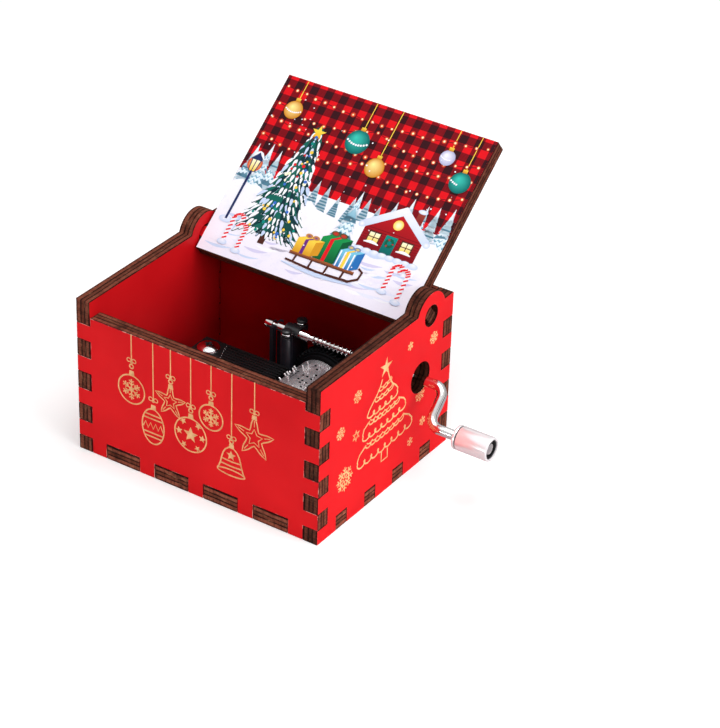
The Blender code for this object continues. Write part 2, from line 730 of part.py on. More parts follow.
def worm_wheel(axis, material):
    """The worm wheel with slanted teeth and a stepped flange towards the cylinder."""
    mean_radius = WORM_TIP_RADIUS - MESH_DEPTH / 2
    slope = WORM_PITCH / (math.tau * mean_radius)
    rings = []
    for y in (-WHEEL_THICKNESS / 2, WHEEL_THICKNESS / 2):
        twist = slope * y / WHEEL_PITCH_RADIUS
        rings.append([(x, y, z) for x, z in wheel_outline(twist)])
    wheel = make_object("worm_wheel", skinned(rings), material, parent=axis)
    step = WHEEL_FLANGE
    first = WHEEL_ROOT_RADIUS - step / 4
    second = first - step
    deep = WHEEL_THICKNESS / 4
    profile = [(0, -deep), (first, -deep), (first, WHEEL_FRONT + step),
               (second, WHEEL_FRONT + step), (second, FLANGE_FRONT), (0, FLANGE_FRONT)]
    add(wheel, make_object("wheel_flange", turned(profile, ROUND, ALONG_Y), parent=axis))
    bore = ARBOR_RADIUS + THREAD_PLAY
    hole = turned([(0, -OVERCUT - WHEEL_FRONT), (bore, -OVERCUT - WHEEL_FRONT),
                   (bore, FLANGE_FRONT + OVERCUT), (0, FLANGE_FRONT + OVERCUT)],
                  SMALL_ROUND, ALONG_Y)
    cut(wheel, make_object("wheel_bore", hole, parent=axis))
    dish_low = WHEEL_ROOT_RADIUS - 2 * MILLIMETRE
    dish = turned([(2.6 * MILLIMETRE, -WHEEL_FRONT - OVERCUT),
                   (dish_low, -WHEEL_FRONT - OVERCUT), (dish_low, -deep / 2),
                   (2.6 * MILLIMETRE, -deep / 2)], ROUND, ALONG_Y, ring=True)
    cut(wheel, make_object("wheel_dish", dish, parent=axis))
    return wheel


def worm_ridge():
    """The worm's thread: a trapezium wound about X, ridge down at the wheel's middle."""
    inset = 0.35 * MILLIMETRE
    low_turn = (-WORM_LEFT + inset) / WORM_PITCH
    high_turn = (WORM_RIGHT - inset) / WORM_PITCH
    steps = round((high_turn - low_turn) * WORM_STEPS)
    root = WORM_ROOT_RADIUS * 0.82
    rings = []
    for step in range(steps + 1):
        turn = low_turn + step / WORM_STEPS
        angle = turn * math.tau - math.pi / 2
        along = turn * WORM_PITCH
        half_base, half_crest = WORM_BASE_WIDTH / 2, WORM_CREST_WIDTH / 2
        section = ((-half_base, root), (half_base, root),
                   (half_crest, WORM_TIP_RADIUS), (-half_crest, WORM_TIP_RADIUS))
        rings.append([(along + shift, radius * math.cos(angle), radius * math.sin(angle))
                      for shift, radius in section])
    return skinned(rings)


def crank_path():
    """Middle line and radius of the crank wire, from its tail to its riveted end."""
    arm = Vector((0, math.cos(ARM_ANGLE), math.sin(ARM_ANGLE)))
    along = Vector((1, 0, 0))
    first_corner = along * arm_x()
    second_corner = first_corner + arm * ARM_LENGTH
    step = 0.3 * MILLIMETRE
    chamfer = WIRE_RADIUS / 4
    neck = FORK_THICKNESS / 2 + FORK_PLAY
    path = [(-CRANK_TAIL, WIRE_RADIUS - chamfer), (-CRANK_TAIL + chamfer, WIRE_RADIUS),
            (-FORK_OFFSET - neck, WIRE_RADIUS), (-FORK_OFFSET - neck, NECK_RADIUS),
            (-FORK_OFFSET + neck, NECK_RADIUS), (-FORK_OFFSET + neck, WIRE_RADIUS),
            (-WORM_LEFT - step, WIRE_RADIUS), (-WORM_LEFT, WORM_ROOT_RADIUS),
            (WORM_RIGHT, WORM_ROOT_RADIUS), (WORM_RIGHT + step, WIRE_RADIUS)]
    stations = [(along * x, radius) for x, radius in path]
    for corner, before, after in ((first_corner, along, arm),
                                  (second_corner, arm, along)):
        centre = corner - before * BEND_RADIUS + after * BEND_RADIUS
        for bend in range(BEND_STEPS + 1):
            angle = math.pi / 2 * bend / BEND_STEPS
            spot = (centre - after * BEND_RADIUS * math.cos(angle)
                    + before * BEND_RADIUS * math.sin(angle))
            stations.append((spot, WIRE_RADIUS))
    shoulder = ARM_TO_KNOB - RUN_GAP
    head = shoulder + KNOB_LENGTH + 2 * RUN_GAP
    tail = [(shoulder, WIRE_RADIUS), (shoulder, KNOB_PIN_RADIUS), (head, KNOB_PIN_RADIUS),
            (head, RIVET_RADIUS), (head + RIVET_THICKNESS * 0.6, RIVET_RADIUS),
            (head + RIVET_THICKNESS, RIVET_RADIUS * 0.6)]
    stations += [(second_corner + along * x, radius) for x, radius in tail]
    return stations


def arm_x():
    """Distance along X from the cylinder's axis to the crank's arm."""
    return HALF_WIDTH + PANEL_TO_ARM - CYLINDER_X


def knob_offset():
    """The knob's inner end, seen from the crank's axis above the cylinder."""
    return Vector((arm_x() + ARM_TO_KNOB, ARM_LENGTH * math.cos(ARM_ANGLE),
                   ARM_LENGTH * math.sin(ARM_ANGLE)))


def crank(axis, material):
    """The bent crank wire: neck for the fork, rolled worm, necked pin, riveted head."""
    stations = crank_path()
    side = Vector((0, -math.sin(ARM_ANGLE), math.cos(ARM_ANGLE)))
    rings = []
    for index, (spot, radius) in enumerate(stations):
        before = stations[max(index - 1, 0)][0]
        after = stations[min(index + 1, len(stations) - 1)][0]
        tangent = (after - before).normalized()
        other = tangent.cross(side).normalized()
        rings.append([spot + (side * math.cos(math.tau * k / WIRE_ROUND)
                              + other * math.sin(math.tau * k / WIRE_ROUND)) * radius
                      for k in range(WIRE_ROUND)])
    wire = make_object("crank", skinned(rings), material, parent=axis, smooth=True)
    add(wire, make_object("crank_thread", worm_ridge(), parent=axis))
    return wire


def knob(axis, shell_material, core_material):
    """The knob: a bright barrel with a grooved flange, and its black core."""
    groove_end = KNOB_FLANGE + KNOB_GROOVE_WIDTH
    groove = KNOB_RADIUS - KNOB_GROOVE_DEPTH
    bore = KNOB_PIN_RADIUS + SHAFT_PLAY
    inner = KNOB_RADIUS - KNOB_WALL
    shell = [(bore, 0), (KNOB_RADIUS - KNOB_CHAMFER, 0), (KNOB_RADIUS, KNOB_CHAMFER),
             (KNOB_RADIUS, KNOB_FLANGE), (groove, KNOB_FLANGE), (groove, groove_end),
             (KNOB_RADIUS, groove_end), (KNOB_RADIUS, KNOB_LENGTH - KNOB_CHAMFER),
             (KNOB_RADIUS - KNOB_CHAMFER, KNOB_LENGTH), (inner, KNOB_LENGTH),
             (inner, KNOB_FLANGE), (bore, KNOB_FLANGE)]
    barrel = make_object("knob_barrel", turned(shell, ROUND, ALONG_X, ring=True),
                         shell_material, parent=axis, smooth=True)
    low = KNOB_FLANGE + SEAT_GAP
    high = KNOB_LENGTH - SEAT_GAP
    outer = inner - THREAD_PLAY
    core = [(bore, low), (outer, low), (outer, high), (bore, high)]
    make_object("knob_core", turned(core, SMALL_ROUND * 3 // 2, ALONG_X, ring=True),
                core_material, parent=axis, smooth=True)
    return barrel


def bedplate(material):
    """The cast bedplate: plate with a window, comb ledge, posts, fork and bosses."""
    left, right = CYLINDER_X - BED_LEFT_REACH, CYLINDER_X + BED_RIGHT_REACH
    front, back = CRANK_Y - BED_FRONT_REACH, CRANK_Y + BED_REAR_REACH
    plate = rounded_rectangle(left, right, front, back, BED_CORNER)
    bed = make_object("bedplate", extruded(plate, BED_BOTTOM, BED_TOP), material)
    sunk = BED_BOTTOM + BED_THICKNESS / 2

    ledge = extruded(comb_root_outline(), sunk, LEDGE_TOP)
    add(bed, make_object("bed_ledge", ledge))
    for index, (x, y) in enumerate(mount_screw_places()):
        boss_top = BED_TOP + BOSS_RISE
        boss = turned([(0, sunk), (BOSS_RADIUS, sunk), (BOSS_RADIUS, boss_top),
                       (0, boss_top)], SMALL_ROUND)
        add(bed, make_object(f"bed_boss_{index}", boss, None, (x, y, 0)))
    for side in (-1, 1):
        x = post_x(side)
        half = SADDLE_WIDTH / 2
        reach = POST_SPREAD - (POST_RADIUS + STRAP_SCREW_RADIUS + THREAD_PLAY) / 2
        wall = extruded(rectangle(x - half, x + half, CRANK_Y - reach, CRANK_Y + reach),
                        sunk, SADDLE_TOP)
        add(bed, make_object(f"bed_saddle_{side + 1}", wall))
        for end in (-1, 1):
            y = CRANK_Y + end * POST_SPREAD
            post = turned([(0, sunk), (POST_RADIUS, sunk), (POST_RADIUS, POST_TOP),
                           (0, POST_TOP)], SMALL_ROUND)
            add(bed, make_object(f"bed_post_{side + 1}_{end + 1}", post, None, (x, y, 0)))
    fork_x = CYLINDER_X - FORK_OFFSET
    for end in (-1, 1):
        y = CRANK_Y + end * FORK_SPREAD
        prong = extruded(rectangle(fork_x - FORK_THICKNESS / 2, fork_x + FORK_THICKNESS / 2,
                                   y - FORK_WIDTH / 2, y + FORK_WIDTH / 2),
                         sunk, CRANK_HEIGHT + FORK_RISE)
        add(bed, make_object(f"bed_fork_{end + 1}", prong))
    pillar = [(-PILLAR_RADIUS, sunk), (PILLAR_RADIUS, sunk)]
    pillar += arc((0, AXIS_HEIGHT), PILLAR_RADIUS, 0, math.pi, 12)
    solid = extruded(pillar, -PILLAR_BACK, -PILLAR_FRONT, ALONG_Y)
    add(bed, make_object("bed_pillar", solid, None, (CYLINDER_X, CRANK_Y, 0)))
    cut_bedplate(bed)
    return bed


def cut_bedplate(bed):
    """Open the bedplate's window, saddles, bore and screw holes."""
    half = WHEEL_TIP_RADIUS * 0.62 + WINDOW_GAP
    window = rectangle(CYLINDER_X - half, CYLINDER_X + half,
                       CRANK_Y - CYLINDER_FRONT - WINDOW_GAP / 2,
                       CRANK_Y + WHEEL_THICKNESS / 2 + WINDOW_GAP / 2)
    cut(bed, make_object("bed_window", extruded(window, 0, BED_TOP + OVERCUT)))
    notch = WIRE_RADIUS + SADDLE_PLAY
    length = POST_OFFSET + SADDLE_WIDTH
    groove = turned([(0, -length), (notch, -length), (notch, length), (0, length)],
                    ROUND, ALONG_X)
    cut(bed, make_object("bed_wire_groove", groove, None,
                         (CYLINDER_X, CRANK_Y, CRANK_HEIGHT)))
    bore = ARBOR_RADIUS + SHAFT_PLAY
    hole = turned([(0, -PILLAR_BACK - OVERCUT), (bore, -PILLAR_BACK - OVERCUT),
                   (bore, 0), (0, 0)], SMALL_ROUND, ALONG_Y)
    cut(bed, make_object("bed_arbor_bore", hole, None,
                         (CYLINDER_X, CRANK_Y, AXIS_HEIGHT)))
    holes = [(place, LEDGE_TOP, COMB_SCREW_DEPTH - COMB_THICKNESS, COMB_SCREW_RADIUS)
             for place in comb_screw_places()]
    holes += [(place, POST_TOP, STRAP_SCREW_DEPTH, STRAP_SCREW_RADIUS)
              for place in strap_screw_places()]
    holes.append((bracket_screw_place(), BED_TOP,
                  BRACKET_SCREW_DEPTH, BRACKET_SCREW_RADIUS))
    for index, ((x, y), top, depth, radius) in enumerate(holes):
        wide = radius + THREAD_PLAY
        low = top - depth
        drill = turned([(0, low), (wide, low), (wide, top + OVERCUT),
                        (0, top + OVERCUT)], SMALL_ROUND * 3 // 4)
        cut(bed, make_object(f"bed_hole_{index}", drill, None, (x, y, 0)))
    for index, (x, y) in enumerate(mount_screw_places()):
        wide = MOUNT_SCREW_RADIUS + THREAD_PLAY
        top = BED_BOTTOM + MOUNT_SCREW_BITE + SEAT_GAP
        drill = turned([(0, 0), (wide, 0), (wide, top), (0, top)], SMALL_ROUND * 3 // 4)
        cut(bed, make_object(f"bed_thread_{index}", drill, None, (x, y, 0)))


def bracket_screw_place():
    """The screw through the front bearing bracket's foot."""
    return (CYLINDER_X, CRANK_Y - BRACKET_FRONT - BRACKET_FOOT / 2)


def front_bearing(material):
    """The bent bracket that holds the arbor's front end, with its foot to the front."""
    foot_low = BED_TOP + SEAT_GAP
    plate = [(-PILLAR_RADIUS, foot_low), (PILLAR_RADIUS, foot_low)]
    plate += arc((0, AXIS_HEIGHT), PILLAR_RADIUS, 0, math.pi, 12)
    upright = extruded(plate, BRACKET_BACK, BRACKET_FRONT, ALONG_Y)
    bracket = make_object("front_bearing", upright, material, (CYLINDER_X, CRANK_Y, 0))
    front = CRANK_Y - BRACKET_FRONT - BRACKET_FOOT
    foot = extruded(rectangle(CYLINDER_X - PILLAR_RADIUS, CYLINDER_X + PILLAR_RADIUS,
                              front, CRANK_Y - BRACKET_BACK - BRACKET_THICKNESS / 2),
                    foot_low, foot_low + BRACKET_THICKNESS)
    add(bracket, make_object("bearing_foot", foot))
    bore = ARBOR_RADIUS + SHAFT_PLAY
    hole = turned([(0, 0), (bore, 0), (bore, BRACKET_FRONT + OVERCUT),
                   (0, BRACKET_FRONT + OVERCUT)], SMALL_ROUND, ALONG_Y)
    cut(bracket, make_object("bearing_bore", hole, None,
                             (CYLINDER_X, CRANK_Y, AXIS_HEIGHT)))
    wide = BRACKET_SCREW_RADIUS + THREAD_PLAY
    x, y = bracket_screw_place()
    drill = turned([(0, BED_TOP), (wide, BED_TOP), (wide, AXIS_HEIGHT),
                    (0, AXIS_HEIGHT)], SMALL_ROUND * 3 // 4)
    cut(bracket, make_object("bearing_screw_hole", drill, None, (x, y, 0)))
    return bracket


def post_x(side):
    """How far right the left (-1) or right (1) pair of posts stands."""
    return CYLINDER_X + POST_SHIFT + side * POST_OFFSET


def strap_screw_places():
    """The four posts' middles, left pair first."""
    return [(post_x(side), CRANK_Y + end * POST_SPREAD)
            for side in (-1, 1) for end in (-1, 1)]


def strap_outline():
    """A strap seen from above: wide over the wire, with a round foot at each end."""
    half, foot = STRAP_WIDTH / 2, STRAP_FOOT_RADIUS
    shoulder = WIRE_RADIUS + SADDLE_PLAY + STRAP_THICKNESS + STRAP_SHOULDER
    points = [(half, -shoulder), (half, shoulder), (foot, shoulder)]
    points += arc((0, POST_SPREAD), foot, 0, math.pi, 8)
    points += [(-foot, shoulder), (-half, shoulder), (-half, -shoulder),
               (-foot, -shoulder)]
    points += arc((0, -POST_SPREAD), foot, math.pi, math.tau, 8)
    points.append((foot, -shoulder))
    return points


def strap(name, x, material):
    """A strap bent over the crank wire, with a round foot on each post."""
    inner = WIRE_RADIUS + SADDLE_PLAY
    outer = inner + STRAP_THICKNESS
    hinge = STRAP_BOTTOM - CRANK_HEIGHT
    foot = STRAP_TOP - CRANK_HEIGHT
    reach = POST_SPREAD + STRAP_FOOT_RADIUS + OVERCUT
    inner_start = math.asin(hinge / inner)
    outer_start = math.asin(foot / outer)
    profile = [(-reach, hinge)]
    profile += arc((0, 0), inner, math.pi - inner_start, inner_start, 12)
    profile += [(reach, hinge), (reach, foot)]
    profile += arc((0, 0), outer, outer_start, math.pi - outer_start, 12)
    profile.append((-reach, foot))
    half = STRAP_WIDTH / 2 + OVERCUT
    place = (x, CRANK_Y, CRANK_HEIGHT)
    item = make_object(name, extruded(profile, -half, half, ALONG_X), material, place)
    for end in (-1, 1):
        wide = STRAP_SCREW_RADIUS + THREAD_PLAY
        drill = turned([(0, hinge - OVERCUT), (wide, hinge - OVERCUT),
                        (wide, foot + OVERCUT), (0, foot + OVERCUT)],
                       SMALL_ROUND * 3 // 4)
        spot = (x, CRANK_Y + end * POST_SPREAD, CRANK_HEIGHT)
        cut(item, make_object(f"{name}_hole_{end + 1}", drill, None, spot))
    above = extruded(strap_outline(), 0, outer + OVERCUT)
    trim(item, make_object(f"{name}_outline", above, None, place))
    return item


def washer(name, place, material):
    """A flat ring between a strap and its screw's head."""
    inner = STRAP_SCREW_RADIUS + THREAD_PLAY
    ring = [(inner, WASHER_BOTTOM), (WASHER_RADIUS, WASHER_BOTTOM),
            (WASHER_RADIUS, WASHER_TOP), (inner, WASHER_TOP)]
    return make_object(name, turned(ring, SMALL_ROUND, ring=True), material,
                       (*place, 0), smooth=True)


def build_case(wood):
    """The five fixed boards."""
    end_panel("front_panel", FRONT_HEIGHT, -HALF_DEPTH, -1, wood)
    end_panel("back_panel", SIDE_HEIGHT, HALF_DEPTH, 1, wood)
    side_panel("left_panel", -HALF_WIDTH, -1, wood)
    right = side_panel("right_panel", HALF_WIDTH, 1, wood)
    bottom_panel(wood)
    hole = turned([(0, -PLY - OVERCUT), (CRANK_HOLE_RADIUS, -PLY - OVERCUT),
                   (CRANK_HOLE_RADIUS, OVERCUT), (0, OVERCUT)], ROUND, ALONG_X)
    centre = (HALF_WIDTH, CRANK_Y, CRANK_HEIGHT + CRANK_HOLE_RISE)
    cut(right, make_object("crank_hole", hole, None, centre))


def build_movement(casting, steel, brass, plastic, chrome):
    """The bedplate and everything that is fixed to it or turns in it."""
    bedplate(casting)
    comb(steel)
    front_bearing(casting)
    comb_sizes = (COMB_SCREW_RADIUS, COMB_SCREW_DEPTH - SEAT_GAP, COMB_HEAD_RADIUS,
                  COMB_HEAD_RISE)
    for name, (x, y) in zip(("comb_screw_rear", "comb_screw_front"),
                            comb_screw_places()):
        domed_screw(name, (x, y, COMB_TOP + SEAT_GAP / 2), comb_sizes, chrome,
                    sides=FINE_ROUND // 2)
    bracket_sizes = (BRACKET_SCREW_RADIUS, BRACKET_SCREW_DEPTH + BRACKET_THICKNESS
                     - SEAT_GAP, BRACKET_HEAD_RADIUS, BRACKET_HEAD_RISE)
    seat = BED_TOP + 2 * SEAT_GAP + BRACKET_THICKNESS
    domed_screw("bearing_screw", (*bracket_screw_place(), seat), bracket_sizes, chrome)
    strap_sizes = (STRAP_SCREW_RADIUS, STRAP_SCREW_DEPTH, STRAP_HEAD_RADIUS,
                   STRAP_HEAD_RISE)
    corners = ("left_front", "left_rear", "right_front", "right_rear")
    for corner, place in zip(corners, strap_screw_places()):
        washer(f"washer_{corner}", place, chrome)
        domed_screw(f"strap_screw_{corner}", (*place, WASHER_TOP + SEAT_GAP / 2),
                    strap_sizes, casting, recess=False, sides=SMALL_ROUND * 3 // 4)
    strap("left_strap", post_x(-1), casting)
    strap("right_strap", post_x(1), casting)
    for index, place in enumerate(mount_screw_places(), start=1):
        mount_screw(f"mounting_screw_{index}", place, steel)

    cylinder_axis = make_axis("cylinder_axis", (CYLINDER_X, CRANK_Y, AXIS_HEIGHT))
    cylinder(cylinder_axis, brass)
    arbor(cylinder_axis, steel)
    worm_wheel(cylinder_axis, plastic)


def build_crank(chrome, plastic):
    """The crank on its axis and the knob on the crank's end."""
    crank_axis = make_axis("crank_axis", (CYLINDER_X, CRANK_Y, CRANK_HEIGHT))
    crank(crank_axis, chrome)
    knob_axis = make_axis("knob_axis", knob_offset(), parent=crank_axis)
    knob(knob_axis, chrome, plastic)


def main():
    """Build the music box with its lid open."""
    clear_scene()
    wood = make_material("red plywood", (0.62, 0.015, 0.025), 0.45)
    casting = make_material("black casting", (0.012, 0.012, 0.014), 0.40, 0.3)
    steel = make_material("dark steel", (0.10, 0.10, 0.11), 0.35, 1.0)
    brass = make_material("nickel-plated brass", (0.62, 0.60, 0.57), 0.28, 1.0)
    chrome = make_material("chrome", (0.80, 0.80, 0.82), 0.12, 1.0)
    plastic = make_material("black plastic", (0.010, 0.010, 0.012), 0.35)
    build_case(wood)
    hinge = make_axis("lid_hinge_axis", (0, HINGE_Y, HINGE_Z), (-lid_open_angle(), 0, 0))
    lid(hinge, wood)
    build_movement(casting, steel, brass, plastic, chrome)
    build_crank(chrome, plastic)


main()
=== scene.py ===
"""Looks of a hand-cranked music box: painted plywood, burnt edges, engraving and movement."""

import json
import logging
import math
import random
from dataclasses import dataclass, field
from enum import Enum
from typing import Callable, Iterable, Sequence

import bmesh
import bpy
from mathutils import Matrix, Vector


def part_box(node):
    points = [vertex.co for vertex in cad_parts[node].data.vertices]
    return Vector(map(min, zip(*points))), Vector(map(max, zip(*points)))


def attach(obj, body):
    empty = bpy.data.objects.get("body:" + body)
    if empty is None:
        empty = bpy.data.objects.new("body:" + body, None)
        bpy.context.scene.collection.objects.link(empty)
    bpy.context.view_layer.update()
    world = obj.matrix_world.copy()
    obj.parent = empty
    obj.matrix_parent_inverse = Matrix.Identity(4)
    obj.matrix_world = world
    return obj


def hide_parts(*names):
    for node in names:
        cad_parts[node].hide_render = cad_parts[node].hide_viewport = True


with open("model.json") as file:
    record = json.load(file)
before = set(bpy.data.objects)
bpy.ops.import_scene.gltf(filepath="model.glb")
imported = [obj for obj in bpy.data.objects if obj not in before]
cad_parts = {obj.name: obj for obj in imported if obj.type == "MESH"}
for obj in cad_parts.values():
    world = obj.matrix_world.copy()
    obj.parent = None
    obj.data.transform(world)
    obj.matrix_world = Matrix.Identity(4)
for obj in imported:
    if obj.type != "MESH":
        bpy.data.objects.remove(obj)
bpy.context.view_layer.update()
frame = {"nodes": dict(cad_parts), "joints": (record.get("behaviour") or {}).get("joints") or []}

LOG = logging.getLogger("music_box")
MM = 0.001
RIGHT, BACK, UP = Vector((1, 0, 0)), Vector((0, 1, 0)), Vector((0, 0, 1))
SQUARE_TO_FACE = 0.98
BOARD_ROUND = 0.09 * MM
Point = tuple[float, float]
Colour = Triple = tuple[float, float, float]
Piece, Socket, Material = bpy.types.Object, bpy.types.NodeSocket, bpy.types.Material


class Body(Enum):
    """The moving groups of the music box."""

    BOX = "box"
    LID = "lid_board"
    CYLINDER = "cylinder_group"
    CRANK = "crank_wire"
    KNOB = "knob"


class Slot(Enum):
    """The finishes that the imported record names."""

    PLY = "painted_plywood"
    CASTING = "black_casting"
    BLACK_STEEL = "black_steel"
    BRIGHT = "bright_steel"
    COMB = "comb_steel"
    NICKEL = "nickel_plated_brass"
    PLASTIC = "black_plastic"


class Axis(Enum):
    """A direction of the shared frame."""

    X = 0
    Y = 1
    Z = 2


# Blender object helpers


def deselect_all() -> None:
    """Leave nothing selected."""
    if bpy.context.object and bpy.context.object.mode != "OBJECT":
        bpy.ops.object.mode_set(mode="OBJECT")
    bpy.ops.object.select_all(action="DESELECT")


def activate(piece: Piece) -> None:
    """Make one object the only selected one and the active one."""
    deselect_all()
    piece.select_set(True)
    bpy.context.view_layer.objects.active = piece


def apply_place(piece: Piece) -> None:
    """Move an object's place, turn and scale into its mesh."""
    activate(piece)
    bpy.ops.object.transform_apply(location=True, rotation=True, scale=True)


def apply_modifiers(piece: Piece) -> None:
    """Apply every modifier of an object in order."""
    activate(piece)
    for modifier in list(piece.modifiers):
        bpy.ops.object.modifier_apply(modifier=modifier.name)


def join(pieces: Sequence[Piece], name: str) -> Piece:
    """Join several meshes into the first one and name it."""
    for piece in pieces:
        apply_place(piece)
    activate(pieces[0])
    for piece in pieces:
        piece.select_set(True)
    bpy.ops.object.join()
    pieces[0].name = pieces[0].data.name = name
    return pieces[0]


def link(name: str, mesh: bpy.types.Mesh) -> Piece:
    """A new object in the scene that shows a mesh."""
    piece = bpy.data.objects.new(name, mesh)
    bpy.context.scene.collection.objects.link(piece)
    return piece


def from_grid(grid: bmesh.types.BMesh, name: str, *materials: Material) -> Piece:
    """A new object from faces built one by one, with its materials."""
    mesh = bpy.data.meshes.new(name)
    grid.to_mesh(mesh)
    grid.free()
    for material in materials:
        mesh.materials.append(material)
    return link(name, mesh)


def clean(piece: Piece, gap: float, flatten: float = 0.0) -> None:
    """Merge a mesh's doubled points and turn its faces outwards.

    Args:
        piece: the mesh to clean.
        gap: how near two points are merged, in millimetres.
        flatten: the angle in degrees below which faces become one, if any do.
    """
    if piece.mode != "EDIT":
        activate(piece)
        bpy.ops.object.mode_set(mode="EDIT")
    bpy.ops.mesh.select_all(action="SELECT")
    bpy.ops.mesh.remove_doubles(threshold=gap * MM)
    if flatten:
        bpy.ops.mesh.dissolve_limited(angle_limit=math.radians(flatten))
    bpy.ops.mesh.normals_make_consistent(inside=False)
    bpy.ops.mesh.select_all(action="DESELECT")
    bpy.ops.object.mode_set(mode="OBJECT")


def bevel(piece: Piece, width: float, segments: int = 2, angle: float = 35.0) -> None:
    """Round a piece's sharp edges.

    Args:
        piece: the mesh to round.
        width: bevel width in metres.
        segments: steps across the bevel.
        angle: the least angle between faces, in degrees, that counts as sharp.
    """
    modifier = piece.modifiers.new("edge_round", "BEVEL")
    modifier.width = width
    modifier.segments = segments
    modifier.limit_method = "ANGLE"
    modifier.angle_limit = math.radians(angle)
    modifier.miter_outer = "MITER_ARC"
    apply_modifiers(piece)


def smooth(piece: Piece, angle: float) -> None:
    """Shade a piece smooth except over edges sharper than an angle in degrees."""
    activate(piece)
    bpy.ops.object.shade_smooth_by_angle(angle=math.radians(angle))


def even_shading(piece: Piece, angle: float) -> None:
    """Smooth a piece's small edges and keep its large faces flat."""
    smooth(piece, angle)
    modifier = piece.modifiers.new("face_weights", "WEIGHTED_NORMAL")
    modifier.keep_sharp = True
    modifier.weight = 80
    apply_modifiers(piece)


def carve(piece: Piece, tool: Piece, crossing: bool = False) -> None:
    """Cut a tool's shape out of a piece and delete the tool.

    Args:
        piece: the mesh that is cut.
        tool: the closed mesh whose volume is taken away.
        crossing: whether the tool's own strokes cross each other.
    """
    modifier = piece.modifiers.new("carve", "BOOLEAN")
    modifier.operation = "DIFFERENCE"
    modifier.solver = "EXACT"
    modifier.object = tool
    modifier.use_self = crossing
    modifier.material_mode = "TRANSFER"
    apply_modifiers(piece)
    bpy.data.objects.remove(tool, do_unlink=True)


def copy_of_node(node: str, name: str) -> Piece:
    """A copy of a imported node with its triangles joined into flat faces."""
    piece = link(name, frame["nodes"][node].data.copy())
    piece.data.materials.clear()
    clean(piece, 0.002, flatten=0.5)
    for attribute in ("custom_normal", "sharp_face"):
        if attribute in piece.data.attributes:
            piece.data.attributes.remove(piece.data.attributes[attribute])
    return piece


def settle(piece: Piece, body: Body, slot: Slot | None = None, *replaced: str) -> None:
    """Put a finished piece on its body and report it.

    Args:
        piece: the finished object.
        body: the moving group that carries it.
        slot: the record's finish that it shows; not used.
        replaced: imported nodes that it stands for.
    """
    apply_place(piece)
    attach(piece, body.value)
    if replaced:
        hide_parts(*replaced)
    LOG.info("%s rides on %s with %d faces", piece.name, body.value, len(piece.data.polygons))


def finish(piece: Piece, material: Material, angle: float, body: Body, slot: Slot,
           *replaced: str) -> None:
    """Give a piece its one material, smooth it up to an angle in degrees and settle it."""
    piece.data.materials.append(material)
    smooth(piece, angle)
    settle(piece, body, slot, *replaced)


def pivot(joint: str) -> Vector:
    """A joint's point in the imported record."""
    return Vector({item["name"]: item["pos_m"] for item in frame["joints"]}[joint])


def foot_of(node: str) -> Vector:
    """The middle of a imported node's underside."""
    low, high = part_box(node)
    return Vector(((low.x + high.x) / 2, (low.y + high.y) / 2, low.z))


# Lathe and sweep helpers


@dataclass(frozen=True)
class Turned:
    """A turned shape: radii and heights in millimetres along its axis."""

    profile: tuple[Point, ...]
    sides: int = 48
    ring: bool = False
    least: float = 0.0005

    def build(self, name: str, foot: Vector, axis: Vector) -> Piece:
        """Turn the shape by extruding and resizing a circle.

        Args:
            name: the piece's name.
            foot: where height 0 lies, in metres.
            axis: the direction in which the height grows.

        Returns:
            The turned piece, placed and with its faces outwards.
        """
        deselect_all()
        radius, height = self.profile[0]
        start = axis * height * MM
        radius = max(radius, self.least)
        bpy.ops.mesh.primitive_circle_add(vertices=self.sides, radius=radius * MM)
        piece = bpy.context.object
        piece.name = name
        bpy.ops.object.mode_set(mode="EDIT")
        bpy.ops.mesh.select_all(action="SELECT")
        for wide, level in (*self.profile[1:], *self.profile[:int(self.ring)]):
            wide = max(wide, self.least)
            rise = (0, 0, (level - height) * MM)
            bpy.ops.mesh.extrude_region_move(TRANSFORM_OT_translate={"value": rise})
            bpy.ops.transform.resize(value=(wide / radius, wide / radius, 1))
            radius, height = wide, level
        clean(piece, 0.0012)
        piece.rotation_mode = "QUATERNION"
        piece.rotation_quaternion = axis.to_track_quat("Z", "Y")
        piece.location = foot + start
        apply_place(piece)
        return piece


def polar(centre: Point, reach: float, angle: float, tall: float | None = None) -> Point:
    """The point at an angle in degrees on a circle, or on an ellipse of that half height."""
    turn = math.radians(angle)
    return (centre[0] + reach * math.cos(turn), centre[1] + (tall or reach) * math.sin(turn))


def arc_points(centre: Point, radius: float, start: float, end: float,
               steps: int) -> list[Point]:
    """Points on an arc, angles in degrees, both ends included."""
    return [polar(centre, radius, start + (end - start) * step / steps)
            for step in range(steps + 1)]


def star_points(centre: Point, radius: float, inner: float, points: int = 5,
                turn: float = 90.0) -> list[Point]:
    """A star's tips and notches, from the tip that points along an angle in degrees."""
    return [polar(centre, inner if step % 2 else radius, turn + 180 * step / points)
            for step in range(points * 2)]


def cross_tool(place: Vector, arm: float, slot: float, depth: float) -> Piece:
    """A tapered plus-shaped cutter for a driver recess, from two crossed wedges."""
    wedges = []
    for turn in (0.0, math.pi / 2):
        bpy.ops.mesh.primitive_cube_add(size=1)
        wedge = bpy.context.object
        bpy.ops.object.mode_set(mode="EDIT")
        bpy.ops.mesh.select_all(action="SELECT")
        bpy.ops.transform.resize(value=(2 * arm * MM, 2 * slot * MM, 2 * depth * MM))
        bpy.ops.object.mode_set(mode="OBJECT")
        for vertex in wedge.data.vertices:
            if vertex.co.z < 0:
                vertex.co.x *= 0.35
                vertex.co.y *= 0.7
        wedge.rotation_euler = (0, 0, turn)
        wedge.location = place
        wedges.append(wedge)
    return join(wedges, "driver_recess")


